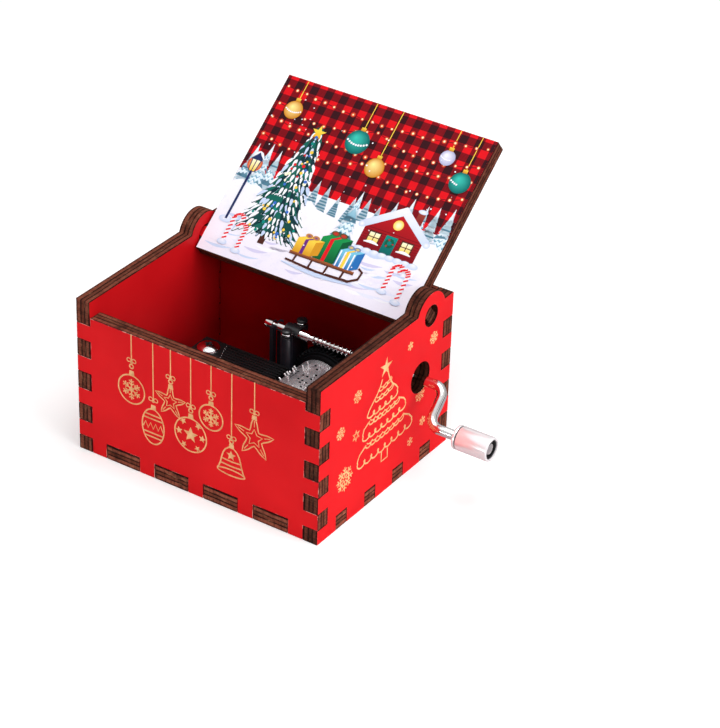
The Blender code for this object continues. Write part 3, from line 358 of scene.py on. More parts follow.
def rods(name: str, paths: Iterable[tuple[Sequence[Vector], Sequence[float], bool]],
         sides: int) -> Piece:
    """Round bars along paths, as one bevelled curve turned into a mesh.

    Args:
        name: the mesh's name.
        paths: points in metres, the bar's radius in millimetres at each, and whether it closes.
        sides: the curve's bevel resolution.

    Returns:
        The bars as a mesh.
    """
    bpy.ops.curve.primitive_bezier_curve_add()
    item = bpy.context.object
    item.name = name
    item.matrix_world = Matrix.Identity(4)
    curve = item.data
    curve.splines.clear()
    curve.dimensions = "3D"
    curve.bevel_depth = MM
    curve.bevel_resolution = sides
    curve.use_fill_caps = True
    for spots, radii, closed in paths:
        spline = curve.splines.new("POLY")
        spline.points.add(len(spots) - 1)
        for knot, spot, radius in zip(spline.points, spots, radii):
            knot.co = (*spot, 1.0)
            knot.radius = radius
        spline.use_cyclic_u = closed
    activate(item)
    bpy.ops.object.convert(target="MESH")
    return item


# Shaders


class Nodes:
    """A small builder for the nodes of a material or of the world."""

    def __init__(self, tree: bpy.types.NodeTree) -> None:
        """Keep the tree."""
        self.tree = tree

    def add(self, kind: str, **settings: object) -> bpy.types.Node:
        """Add a node and set its properties."""
        node = self.tree.nodes.new(kind)
        for key, value in settings.items():
            setattr(node, key, value)
        return node

    def wire(self, value: object, socket: Socket) -> None:
        """Link a socket to another, or set its plain value."""
        if isinstance(value, Socket):
            self.tree.links.new(value, socket)
        elif isinstance(value, tuple) and len(value) == 3 and socket.type == "RGBA":
            socket.default_value = (*value, 1.0)
        else:
            socket.default_value = value

    def make(self, kind: str, output: str | int, inputs: dict, **settings: object) -> Socket:
        """Add a node, wire its inputs and return one of its outputs.

        Args:
            kind: the node's type.
            output: the name or number of the wanted output.
            inputs: a value or a socket for each input's name or number.
            settings: the node's properties.

        Returns:
            The output's socket.
        """
        node = self.add(kind, **settings)
        for key, value in inputs.items():
            self.wire(value, node.inputs[key])
        return node.outputs[output]

    def part(self, vector: Socket, axis: Axis) -> Socket:
        """One coordinate of a vector."""
        return self.make("ShaderNodeSeparateXYZ", axis.value, {0: vector})

    def sum(self, operation: str, first: object, second: object = 0.0) -> Socket:
        """A Math node's result."""
        return self.make("ShaderNodeMath", 0, {0: first, 1: second}, operation=operation)

    def ramp(self, value: Socket, stops: Sequence[tuple[float, Colour]]) -> Socket:
        """A colour picked along a ramp."""
        node = self.add("ShaderNodeValToRGB")
        self.wire(value, node.inputs["Fac"])
        elements = node.color_ramp.elements
        while len(elements) < len(stops):
            elements.new(0.5)
        for element, (place, colour) in zip(elements, stops):
            element.position = place
            element.color = (*colour, 1.0)
        return node.outputs["Color"]

    def mix(self, share: object, first: object, second: object, blend: str = "MIX") -> Socket:
        """Two colours mixed."""
        return self.make("ShaderNodeMix", 2, {0: share, 6: first, 7: second},
                         data_type="RGBA", blend_type=blend)


class Shader(Nodes):
    """One material around a Principled shader."""

    def __init__(self, name: str) -> None:
        """Start the material."""
        self.material = bpy.data.materials.new(name)
        self.material.use_nodes = True
        super().__init__(self.material.node_tree)
        self.surface = self.tree.nodes["Principled BSDF"]

    def place(self, scale: Triple = (1, 1, 1), turn: Triple = (0, 0, 0)) -> Socket:
        """Object coordinates in metres, turned and scaled."""
        coords = self.add("ShaderNodeTexCoord").outputs["Object"]
        return self.make("ShaderNodeMapping", 0,
                         {"Vector": coords, "Rotation": turn, "Scale": scale})

    def noise(self, vector: Socket, scale: float, detail: float = 4.0, rough: float = 0.5,
              warp: float = 0.0) -> Socket:
        """Noise between 0 and 1."""
        return self.make("ShaderNodeTexNoise", "Fac",
                         {"Vector": vector, "Scale": scale, "Detail": detail,
                          "Roughness": rough, "Distortion": warp})

    def fit(self, value: Socket, low: float, high: float, start: float = 0.0,
            end: float = 1.0) -> Socket:
        """A value moved from one range to another and held inside it."""
        return self.make("ShaderNodeMapRange", "Result",
                         {"Value": value, "From Min": low, "From Max": high,
                          "To Min": start, "To Max": end}, clamp=True)

    def bump(self, height: Socket, depth: float, strength: float = 0.5) -> Socket:
        """A bumped normal."""
        return self.make("ShaderNodeBump", "Normal",
                         {"Height": height, "Strength": strength, "Distance": depth})

    def set(self, **values: object) -> None:
        """Set or link the surface's sockets, by their names with underscores."""
        for name, value in values.items():
            self.wire(value, self.surface.inputs[name.replace("_", " ")])


@dataclass(frozen=True)
class RedPaint:
    """Red lacquer sprayed on smooth plywood, with a trace of the grain below."""

    colour: Colour = (0.78, 0.010, 0.014)
    deep: Colour = (0.66, 0.006, 0.010)
    roughness: float = 0.42
    grain_depth: float = 0.02 * MM

    def build(self, axis: Axis, shade: float = 1.0, name: str = "") -> Material:
        """The paint for a board that is thick along an axis.

        Args:
            axis: the direction in which the board is thick.
            shade: how dark the coat is drawn beside the outer faces' coat; below 1 it is painted
                shade for faces inside the box.
            name: a word that tells this coat from the others.

        Returns:
            The material.
        """
        shader = Shader(f"red paint {name or axis.name.lower()}")
        along = (1.0, 0.06, 1.0) if axis is Axis.X else (0.06, 1.0, 1.0)
        grain = shader.noise(shader.place(along), 900, 6, 0.6, 0.3)
        cloud = shader.noise(shader.place(), 55, 3)
        mist = shader.noise(shader.place(), 2600, 2, 0.6)
        # painted shade: both tones are darkened by shade for the coat on faces inside the box
        light, dark = (tuple(part * shade for part in tone)
                       for tone in (self.colour, self.deep))
        tone = shader.mix(shader.fit(cloud, 0.3, 0.7), dark, light)
        tone = shader.mix(shader.fit(grain, 0.55, 0.8, 0.0, 0.18), tone, dark)
        height = shader.sum("ADD", shader.sum("MULTIPLY", grain, 0.7),
                            shader.sum("MULTIPLY", mist, 0.3))
        shader.set(Base_Color=tone, Specular_IOR_Level=0.06,
                   Roughness=shader.fit(cloud, 0.2, 0.8, self.roughness - 0.06,
                                        self.roughness + 0.1),
                   Normal=shader.bump(height, self.grain_depth, 0.35))
        return shader.material


@dataclass(frozen=True)
class BurntEdge:
    """Laser-cut plywood edges: charred outer layers, browner core and beam streaks."""

    char: Colour = (0.012, 0.005, 0.004)
    core: Colour = (0.200, 0.052, 0.030)
    veneer: Colour = (0.310, 0.085, 0.051)
    ember: Colour = (0.46, 0.20, 0.11)
    ply: float = 3.6 * MM
    burn: float = 1.0

    def build(self, axis: Axis, face: float, name: str, turn: Triple = (0, 0, 0)) -> Material:
        """The edge finish of one board.

        Args:
            axis: the direction in which the board is thick, after the turn.
            face: the coordinate of the board's lower face along that axis.
            name: a word that tells this board's finish from the others.
            turn: a turn that brings a tilted board square to the axes.

        Returns:
            The material.
        """
        shader = Shader(f"burnt edge {name}")
        square = shader.place(turn=turn)
        depth = shader.sum("DIVIDE", shader.sum("SUBTRACT", shader.part(square, axis), face),
                           self.ply)
        wander = shader.noise(square, 110, 2)
        depth = shader.sum("ADD", depth, shader.fit(wander, 0, 1, -0.06, 0.06))
        fray = shader.noise(square, 3000, 3, 0.7)
        depth = shader.sum("ADD", depth, shader.fit(fray, 0.2, 0.8, -0.035, 0.035))
        char, core, veneer = self.char, self.core, self.veneer
        layers = shader.ramp(depth, (
            (0.0, char), (0.06, char), (0.12, veneer), (0.29, veneer), (0.34, char),
            (0.39, char), (0.45, core), (0.58, core), (0.63, char), (0.67, char),
            (0.73, veneer), (0.88, veneer), (0.95, char)))
        streaks = []
        for cross, along, detail, rough, warp in ((2600.0, 260.0, 4, 0.6, 0.0),
                                                  (420.0, 3000.0, 5, 0.7, 0.4)):
            scale = tuple(along if index == axis.value else cross for index in range(3))
            streaks.append(shader.noise(shader.place(scale, turn), 1.0, detail, rough, warp))
        beam, grain = streaks
        soot = shader.noise(square, 330, 4, 0.6)
        tone = shader.mix(shader.fit(beam, 0.46, 0.66, 0.0, 0.5), layers, char)
        tone = shader.mix(shader.fit(grain, 0.55, 0.68, 0.0, 0.6), tone, self.ember)
        tone = shader.mix(shader.fit(soot, 0.5, 0.72, 0.0, 0.7), tone, char)
        tone = shader.mix(self.burn, char, tone)
        height = shader.sum("ADD", beam, grain)
        shader.set(Base_Color=tone, Roughness=0.72, Specular_IOR_Level=0.04,
                   Normal=shader.bump(height, 0.06 * MM, 0.6))
        return shader.material


@dataclass(frozen=True)
class ChippedRimAndHighlight:
    """The fine edge between paint and cut: dark red with pale flecks, partly bare wood where the
    paint came off and partly a painted highlight along the rounded rim.
    """

    chip_and_highlight: Colour = (0.80, 0.36, 0.30)
    paint: Colour = (0.30, 0.010, 0.014)

    def build(self) -> Material:
        """The rim's material."""
        shader = Shader("chipped_and_highlit paint rim")
        # painted highlight: the pale flecks along the rim stand partly for light caught by the
        # rounded edge, partly for bare wood
        chip_and_highlight_noise = shader.noise(shader.place((0.35, 0.35, 0.35)), 900, 5, 0.7)
        tone = shader.mix(shader.fit(chip_and_highlight_noise, 0.50, 0.58), self.paint, self.chip_and_highlight)
        shader.set(Base_Color=tone, Roughness=0.6, Specular_IOR_Level=0.2,
                   Normal=shader.bump(chip_and_highlight_noise, 0.03 * MM))
        return shader.material


@dataclass(frozen=True)
class EngravedWood:
    """Bare birch where the laser took the paint off, toasted here and there."""

    bare: Colour = (0.90, 0.56, 0.27)
    toast: Colour = (0.72, 0.32, 0.12)

    def build(self) -> Material:
        """The engraving's material."""
        shader = Shader("engraved wood")
        burn = shader.noise(shader.place(), 700, 5, 0.65)
        dots = shader.make("ShaderNodeTexVoronoi", "Distance",
                           {"Vector": shader.place(), "Scale": 3200})
        tone = shader.mix(shader.fit(burn, 0.45, 0.75), self.bare, self.toast)
        tone = shader.mix(shader.fit(dots, 0.1, 0.45, 0.25, 0.0), tone, self.toast)
        shader.set(Base_Color=tone, Roughness=0.8, Normal=shader.bump(dots, 0.03 * MM))
        return shader.material


@dataclass(frozen=True)
class Metal:
    """A metal finish with fine scratches, finger haze and tiny dents."""

    name: str
    colour: Colour
    dull: Colour
    roughness: float
    haze: float = 0.12
    metallic: float = 1.0
    brushed: bool = False
    bump_depth: float = 0.004 * MM
    lathe: float = 0.0

    def build(self) -> Material:
        """The metal's material; lathe marks follow the piece's map "along_profile"."""
        shader = Shader(self.name)
        stretch = (0.04, 1.0, 1.0) if self.brushed else (1.0, 1.0, 1.0)
        scratch = shader.noise(shader.place(stretch), 5200, 3, 0.7)
        haze = shader.noise(shader.place(), 420, 4, 0.6)
        tone = shader.mix(shader.fit(haze, 0.38, 0.66), self.colour, self.dull)
        rough = shader.sum("ADD", shader.fit(haze, 0.3, 0.8, 0.0, self.haze),
                           shader.fit(scratch, 0.4, 0.8, self.roughness,
                                      self.roughness + self.haze / 2))
        shader.set(Base_Color=tone, Metallic=self.metallic, Roughness=rough,
                   Normal=shader.bump(scratch, self.bump_depth, 0.4))
        if self.lathe:
            marks = shader.add("ShaderNodeTangent", direction_type="UV_MAP",
                               uv_map="along_profile")
            shader.set(Anisotropic=self.lathe, Tangent=marks.outputs[0])
        return shader.material


@dataclass(frozen=True)
class Black:
    """A black finish: sand-cast lacquer, oxide or moulded plastic."""

    name: str
    colour: Colour
    worn: Colour
    roughness: float
    pebble: float
    pebble_depth: float
    gloss: float = 0.5

    def build(self) -> Material:
        """The black material."""
        shader = Shader(self.name)
        pebble = shader.noise(shader.place(), self.pebble, 5, 0.65)
        cloud = shader.noise(shader.place(), 300, 3)
        tone = shader.mix(shader.fit(cloud, 0.45, 0.8, 0.0, 0.6), self.colour, self.worn)
        shader.set(Base_Color=tone, Specular_IOR_Level=self.gloss,
                   Roughness=shader.fit(pebble, 0.3, 0.7, self.roughness - 0.06,
                                        self.roughness + 0.12),
                   Normal=shader.bump(pebble, self.pebble_depth))
        return shader.material


class Finishes:
    """Every material of the music box, made once."""

    def __init__(self) -> None:
        """Build the materials."""
        self.engraved = EngravedWood().build()
        self.rim = ChippedRimAndHighlight().build()
        self.chrome = Metal("bright chrome", (0.82, 0.80, 0.80), (0.68, 0.65, 0.65),
                            0.06, haze=0.06).build()
        self.satin = Metal("turned chrome", (0.95, 0.91, 0.93), (0.90, 0.86, 0.88), 0.13,
                           haze=0.03, metallic=0.42, bump_depth=0.0005 * MM,
                           lathe=0.7).build()
        self.nickel = Metal("drum nickel", (0.96, 0.94, 0.96), (0.42, 0.36, 0.40), 0.19,
                            haze=0.14, metallic=0.80, bump_depth=0.04 * MM).build()
        self.pins = Metal("pin steel", (1.0, 0.99, 1.0), (0.88, 0.86, 0.88), 0.25,
                          metallic=0.35).build()
        self.comb = Metal("comb steel", (0.062, 0.061, 0.066), (0.044, 0.043, 0.046), 0.30,
                          haze=0.14, brushed=True).build()
        self.casting = Black("black lacquered casting", (0.014, 0.014, 0.020),
                             (0.036, 0.033, 0.050), 0.34, 1600, 0.03 * MM).build()
        self.oxide = Black("blackened steel", (0.012, 0.012, 0.014), (0.030, 0.028, 0.032),
                           0.30, 2400, 0.008 * MM).build()
        self.plastic = Black("black moulded plastic", (0.004, 0.004, 0.005),
                             (0.008, 0.008, 0.009), 0.46, 3000, 0.006 * MM, 0.1).build()


# Engraved line art


@dataclass
class Engraving:
    """Strokes and solid shapes on one face, in millimetres from its lower left corner."""

    origin: Vector
    right: Vector
    up: Vector
    width: float = 0.34
    depth: float = 0.16
    strokes: list[tuple[list[Point], bool, float]] = field(default_factory=list)
    patches: list[list[Point]] = field(default_factory=list)

    def line(self, points: Sequence[Point], closed: bool = False,
             width: float | None = None) -> None:
        """Engrave a line through points."""
        self.strokes.append((list(points), closed, width or self.width))

    def ring(self, centre: Point, radius: float, tall: float | None = None,
             width: float | None = None) -> None:
        """Engrave a circle, or an ellipse of a given half height."""
        steps = max(8, round(14 + radius * 8))
        self.line([polar(centre, radius, 360 * step / steps, tall)
                   for step in range(steps)], True, width)

    def star(self, centre: Point, radius: float, inner: float = 0.45, points: int = 5,
             filled: bool = True, turn: float = 90.0, width: float | None = None) -> None:
        """Engrave a star as a solid shape or an outline."""
        outline = star_points(centre, radius, radius * inner, points, turn)
        if filled:
            self.patches.append(outline)
        else:
            self.line(outline, True, width)

    def wavy_star(self, centre: Point, radius: float) -> None:
        """Engrave a star with gently wavy sides and a smaller star inside."""
        side = ((0, 1.0), (7, 0.80), (12, 0.68), (22, 0.48), (36, 0.38), (50, 0.48),
                (60, 0.68), (65, 0.80))
        self.line([polar(centre, radius * reach, 90 + 72 * arm + turn)
                   for arm in range(5) for turn, reach in side], True, 0.3)
        self.star(centre, radius * 0.42, 0.5, filled=False, width=0.28)
        for arm in range(5):
            self.line([polar(centre, radius * reach, 90 + 72 * arm)
                       for reach in (0.52, 0.82)], width=0.2)

    def flake(self, centre: Point, radius: float, arms: int = 6, width: float = 0.24) -> None:
        """Engrave a snowflake: arms with side twigs, fewer of them on a small one."""
        twigs = ((0.42, 0.26), (0.68, 0.24)) if radius >= 2 else ((0.68, 0.24),)
        middle = Vector(centre)
        for arm in range(arms):
            along = Vector(polar((0, 0), 1.0, 90 + 360 * arm / arms))
            side = Vector((-along.y, along.x))
            self.line([middle + along * radius * 0.12, middle + along * radius],
                      width=width)
            for share, twig in twigs:
                root = middle + along * radius * share
                for hand in (-1, 1):
                    self.line([root, root + (along * 0.7 + side * hand) * radius * twig],
                              width=width)

    def bow(self, centre: Point, size: float) -> None:
        """Engrave a small bow with two loops."""
        x, z = centre
        for hand in (-1, 1):
            loop = [(x + hand * size * (0.55 + 0.45 * math.cos(angle)),
                     z + size * 0.42 * math.sin(angle) + size * 0.25)
                    for angle in (math.radians(30 * step - 60) for step in range(11))]
            self.line([centre, *loop, centre], width=0.24)
        self.ring((x, z - 0.05), 0.28, width=0.24)

    def hanger(self, x: float, low: float, cap: float, loop: bool = True,
               top: float = 34.6, half: float = 0.72) -> None:
        """Engrave a string, its bow, and the ornament's ring and cap."""
        self.line([(x, top), (x, low + 0.4)], width=0.27)
        self.bow((x, low), 1.2)
        if loop:
            self.ring((x, (low + cap) / 2 + 0.25), 0.5, width=0.32)
        self.patches.append([(x - half, cap - 0.55), (x + half, cap - 0.55),
                             (x + half * 0.8, cap + 0.55), (x - half * 0.8, cap + 0.55)])

    def frosted_ball(self, centre: Point, radius: float, reach: float, heart: float) -> None:
        """Engrave a round ornament with a snowflake on it."""
        self.ring(centre, radius)
        self.flake(centre, reach, width=0.32)
        self.star(centre, heart, 0.5, points=6)

    def _spot(self, point: Sequence[float], lift: float = 0.0) -> Vector:
        """A face point in metres, lifted off the face."""
        place = self.origin + self.right * point[0] * MM + self.up * point[1] * MM
        return place + self.right.cross(self.up) * lift * MM

    def tools(self, name: str, material: Material) -> tuple[Piece, Piece]:
        """The cutters that carve this engraving.

        Args:
            name: the start of the cutters' names.
            material: what the cut shows.

        Returns:
            One mesh with a tube for each stroke and one mesh of the solid patches.
        """
        normal = self.right.cross(self.up)
        tubes = rods(f"{name}_strokes",
                     [([self._spot(point) for point in points], [width / 2] * len(points),
                       closed) for points, closed, width in self.strokes], 0)
        tubes.data.materials.append(material)
        for vertex in tubes.data.vertices:
            lift = (vertex.co - self.origin).dot(normal)
            flat = vertex.co - normal * lift
            vertex.co = flat + normal * (lift / (MM * self.width / 2)) * self.depth * MM
        grid = bmesh.new()
        for outline in self.patches:
            low = [grid.verts.new(self._spot(p, -self.depth * 0.9)) for p in outline]
            high = [grid.verts.new(self._spot(p, self.depth)) for p in outline]
            grid.faces.new(low[::-1])
            grid.faces.new(high)
            for corners in zip(low, low[1:] + low[:1], high[1:] + high[:1], high):
                grid.faces.new(corners)
        bmesh.ops.recalc_face_normals(grid, faces=grid.faces)
        return tubes, from_grid(grid, f"{name}_patches", material)


def front_ornaments() -> Engraving:
    """Seven ornaments hung on strings from the front panel's top edge."""
    art = Engraving(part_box("front_panel")[0].copy(), RIGHT, UP)
    art.hanger(14.9, 27.7, 24.9)
    art.frosted_ball((14.8, 20.7), 3.55, 2.6, 1.1)
    art.hanger(20.7, 19.9, 18.3, loop=False)
    art.ring((20.6, 13.3), 2.95, 4.45)
    for level, half in ((16.2, 2.2), (15.2, 2.6), (11.6, 2.6), (10.6, 2.2)):
        art.line([(20.6 - half, level), (20.6 + half, level)])
    art.line([(20.6 + 2.7 * (step - 4) / 4, 13.4 + (0.75 if step % 2 else -0.75))
              for step in range(9)])
    art.hanger(25.4, 27.3, 25.3)
    art.wavy_star((25.3, 21.5), 4.2)
    art.hanger(30.75, 22.1, 19.9)
    art.ring((30.7, 15.1), 4.2)
    art.star((30.7, 15.1), 2.0)
    for z, half, size in ((2.9, 2.0, 0.95), (0.1, 3.1, 1.0), (-2.9, 1.8, 0.85)):
        for x in (-half, half):
            art.star((30.7 + x, 15.1 + z), size, turn=90 + 20 * x)
    art.hanger(36.1, 27.3, 25.1)
    art.frosted_ball((36.1, 21.5), 3.1, 2.3, 1.0)
    art.hanger(41.5, 18.2, 16.4)
    right = [(0.6, 15.9), (1.5, 15.2), (2.1, 14.2), (2.5, 12.9), (2.75, 11.7), (3.2, 10.4),
             (3.6, 9.7)]
    art.line([(41.45 - x, z) for x, z in reversed(right)]
             + [(41.45 + x, z) for x, z in right])
    art.ring((41.45, 9.6), 3.6, 0.75)
    for level, half in ((12.6, 2.5), (11.4, 2.75)):
        art.line([(41.45 - half, level), (41.45, level - 0.15), (41.45 + half, level)])
    art.star((41.4, 13.95), 1.3)
    art.hanger(47.4, 26.9, 25.8, loop=False)
    art.wavy_star((47.4, 20.7), 5.3)
    return art


def scallops(start: Point, end: Point, count: int, sag: float, curl: float) -> list[Point]:
    """A garland of small loops between two points, as drawn without lifting the pen."""
    points = []
    steps = count * 8
    for step in range(steps + 1):
        share = step / steps
        phase = share * count * math.tau
        x = start[0] + (end[0] - start[0]) * share - curl * math.sin(phase)
        z = start[1] + (end[1] - start[1]) * share - sag * (1 - math.cos(phase)) / 2
        points.append((x, z - 0.35 * math.sin(math.pi * share)))
    return points


def side_tree() -> Engraving:
    """A scribbled fir with a star, and snowflakes round it, on the right panel."""
    low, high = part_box("right_panel")
    art = Engraving(Vector((high.x, low.y, low.z)), BACK, UP, width=0.38)
    art.star((24.7, 32.2), 2.5, 0.36, turn=84)
    art.line([(23.4, 29.8), (22.6, 28.2), (21.4, 26.8), (19.8, 25.4), (18.5, 24.2),
              (18.2, 23.6)])
    art.line([(25.6, 30.4), (26.3, 28.7), (27.4, 26.9), (28.9, 25.6), (29.7, 24.6),
              (29.4, 24.0)])
    for start, end, count, sag in (((18.2, 23.6), (29.4, 24.0), 5, 1.2),
                                   ((16.6, 18.6), (32.9, 19.2), 7, 1.3),
                                   ((14.8, 12.6), (35.8, 13.4), 8, 1.5)):
        art.line(scallops(start, end, count, sag, 0.75))
    bulge, drop = ((-1.0, 0.3), (0.7, 0.2)), ((-0.2, 0.6), (0.1, 0.5))
    for side, upper, lower in ((0, (19.0, 21.6), (16.6, 18.6)),
                               (0, (17.9, 16.0), (14.8, 12.6)),
                               (1, (30.2, 21.8), (32.9, 19.2)),
                               (1, (32.2, 16.6), (35.8, 13.4))):
        middle = [(a + b) / 2 + c for a, b, c in zip(upper, lower, bulge[side])]
        near = [a + b for a, b in zip(lower, drop[side])]
        art.line([upper, middle, near, lower])
    for start, end, count, sag in (((22.4, 27.9), (26.9, 28.6), 3, 0.7),
                                   ((20.9, 26.0), (27.6, 26.4), 4, 0.8),
                                   ((18.9, 21.4), (30.4, 21.6), 7, 0.9),
                                   ((17.8, 15.9), (32.4, 16.2), 8, 0.9)):
        art.line(scallops(start, end, count, sag, 0.5), width=0.34)
        art.line(scallops((start[0] + 0.4, start[1] + 0.5), (end[0] - 0.2, end[1] + 0.4),
                          count - 1, sag * 0.6, 0.35), width=0.28)
    art.line([(24.1, 10.9), (24.05, 8.5), (26.5, 8.5), (26.4, 10.9)])
    for y, z, size in ((14.0, 30.2, 1.6), (7.9, 24.1, 1.6), (34.1, 32.8, 1.1),
                       (43.6, 30.4, 1.6), (38.9, 18.3, 1.9), (40.4, 10.6, 1.2)):
        art.flake((y, z), size, arms=8 if size > 1.2 else 6, width=0.22)
        art.ring((y, z), size * 0.5, width=0.18)
    art.star((13.8, 20.5), 1.35, 0.4, points=6, filled=False)
    art.flake((35.6, 7.6), 1.1, width=0.22)
    art.flake((9.9, 11.6), 3.1, arms=8, width=0.3)
    art.ring((9.9, 11.6), 1.5, width=0.24)
    return art


# The wooden case


@dataclass
class Board:
    """One plywood board: painted faces and burnt edges, engraved if it has line art."""

    node: str
    axis: Axis
    burn: float
    art: Engraving | None = None
    # painted shade: the paint on faces inside the box is drawn this much darker
    painted_inner_shade: float = 0.72
    # painted shade: the bores of the crank and hinge holes are mixed further toward char, partly
    # charred wood and partly painted shade in the holes
    hole_char_and_shade: float = 0.3
    holes: tuple[tuple[str, float], ...] = (("crank_spin", 4.0), ("lid_hinge", 3.0))

    def _in_hole(self, spot: Vector) -> bool:
        """Whether a point lies within reach of a hole bored along X for a joint."""
        for joint, reach in self.holes:
            gap = spot - pivot(joint)
            gap.x = 0
            if gap.length < reach * MM:
                return True
        return False

    def build(self, finishes: Finishes) -> None:
        """Make the board's piece.

        Args:
            finishes: the shared materials.
        """
        outside, edge, inside, rim, bore = 0, 1, 3, 4, 5
        board = copy_of_node(self.node, f"{self.node}_board")
        low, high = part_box(self.node)
        face = low[self.axis.value]
        bevel(board, BOARD_ROUND)
        paint = RedPaint()
        for material in (paint.build(self.axis),
                         BurntEdge(burn=self.burn).build(self.axis, face, self.node),
                         finishes.engraved,
                         # painted shade: the darker copy of the paint for faces inside the box
                         paint.build(self.axis, self.painted_inner_shade, f"inside {self.node}"),
                         finishes.rim,
                         BurntEdge(burn=self.hole_char_and_shade).build(self.axis, face,
                                                              f"{self.node} holes")):
            board.data.materials.append(material)
        beyond = self.axis is not Axis.Z and (low + high)[self.axis.value] > 0
        inward = -1 if beyond else 1
        for polygon in board.data.polygons:
            level = polygon.normal[self.axis.value] * inward
            if abs(level) > SQUARE_TO_FACE:
                polygon.material_index = inside if level > 0 else outside
            elif self.axis is Axis.X and abs(level) < 0.3 and self._in_hole(polygon.center):
                # painted shade: faces inside a bored hole take the darker hole finish
                polygon.material_index = bore
            else:
                # the rounded rim faces take the flecked rim finish, partly a painted highlight
                polygon.material_index = rim if level < -0.3 else edge
        if self.art:
            for tool in self.art.tools(self.node, finishes.engraved):
                carve(board, tool, crossing=True)
        even_shading(board, 30)
        settle(board, Body.BOX, Slot.PLY, self.node)


@dataclass
class Case:
    """The five fixed boards."""

    boards: tuple[tuple[str, Axis, float, Callable[[], Engraving] | None], ...] = (
        ("front_panel", Axis.Y, 0.70, front_ornaments),
        ("back_panel", Axis.Y, 0.66, None),
        ("left_panel", Axis.X, 0.70, None),
        ("right_panel", Axis.X, 0.42, side_tree),
        ("bottom_panel", Axis.Z, 1.0, None),
    )

    def build(self, finishes: Finishes) -> None:
        """Build each board in turn."""
        for node, axis, burn, drawing in self.boards:
            Board(node, axis, burn, drawing() if drawing else None).build(finishes)


# The crank and its knob


@dataclass(frozen=True)
class CrankSizes:
    """The bent wire's sizes in millimetres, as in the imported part."""

    wire: float = 1.15
    tail: float = 17.15
    fork: float = 14.2
    neck_half: float = 0.65
    neck: float = 0.6
    worm_left: float = 5.0
    worm_right: float = 7.6
    worm_tip: float = 1.3
    worm_root: float = 0.75
    pitch: float = 1.096
    arm_offset: float = 30.5
    arm: float = 8.9
    bend: float = 2.6
    to_knob: float = 7.3
    knob: float = 8.8
    pin: float = 0.85
    rivet: float = 1.3


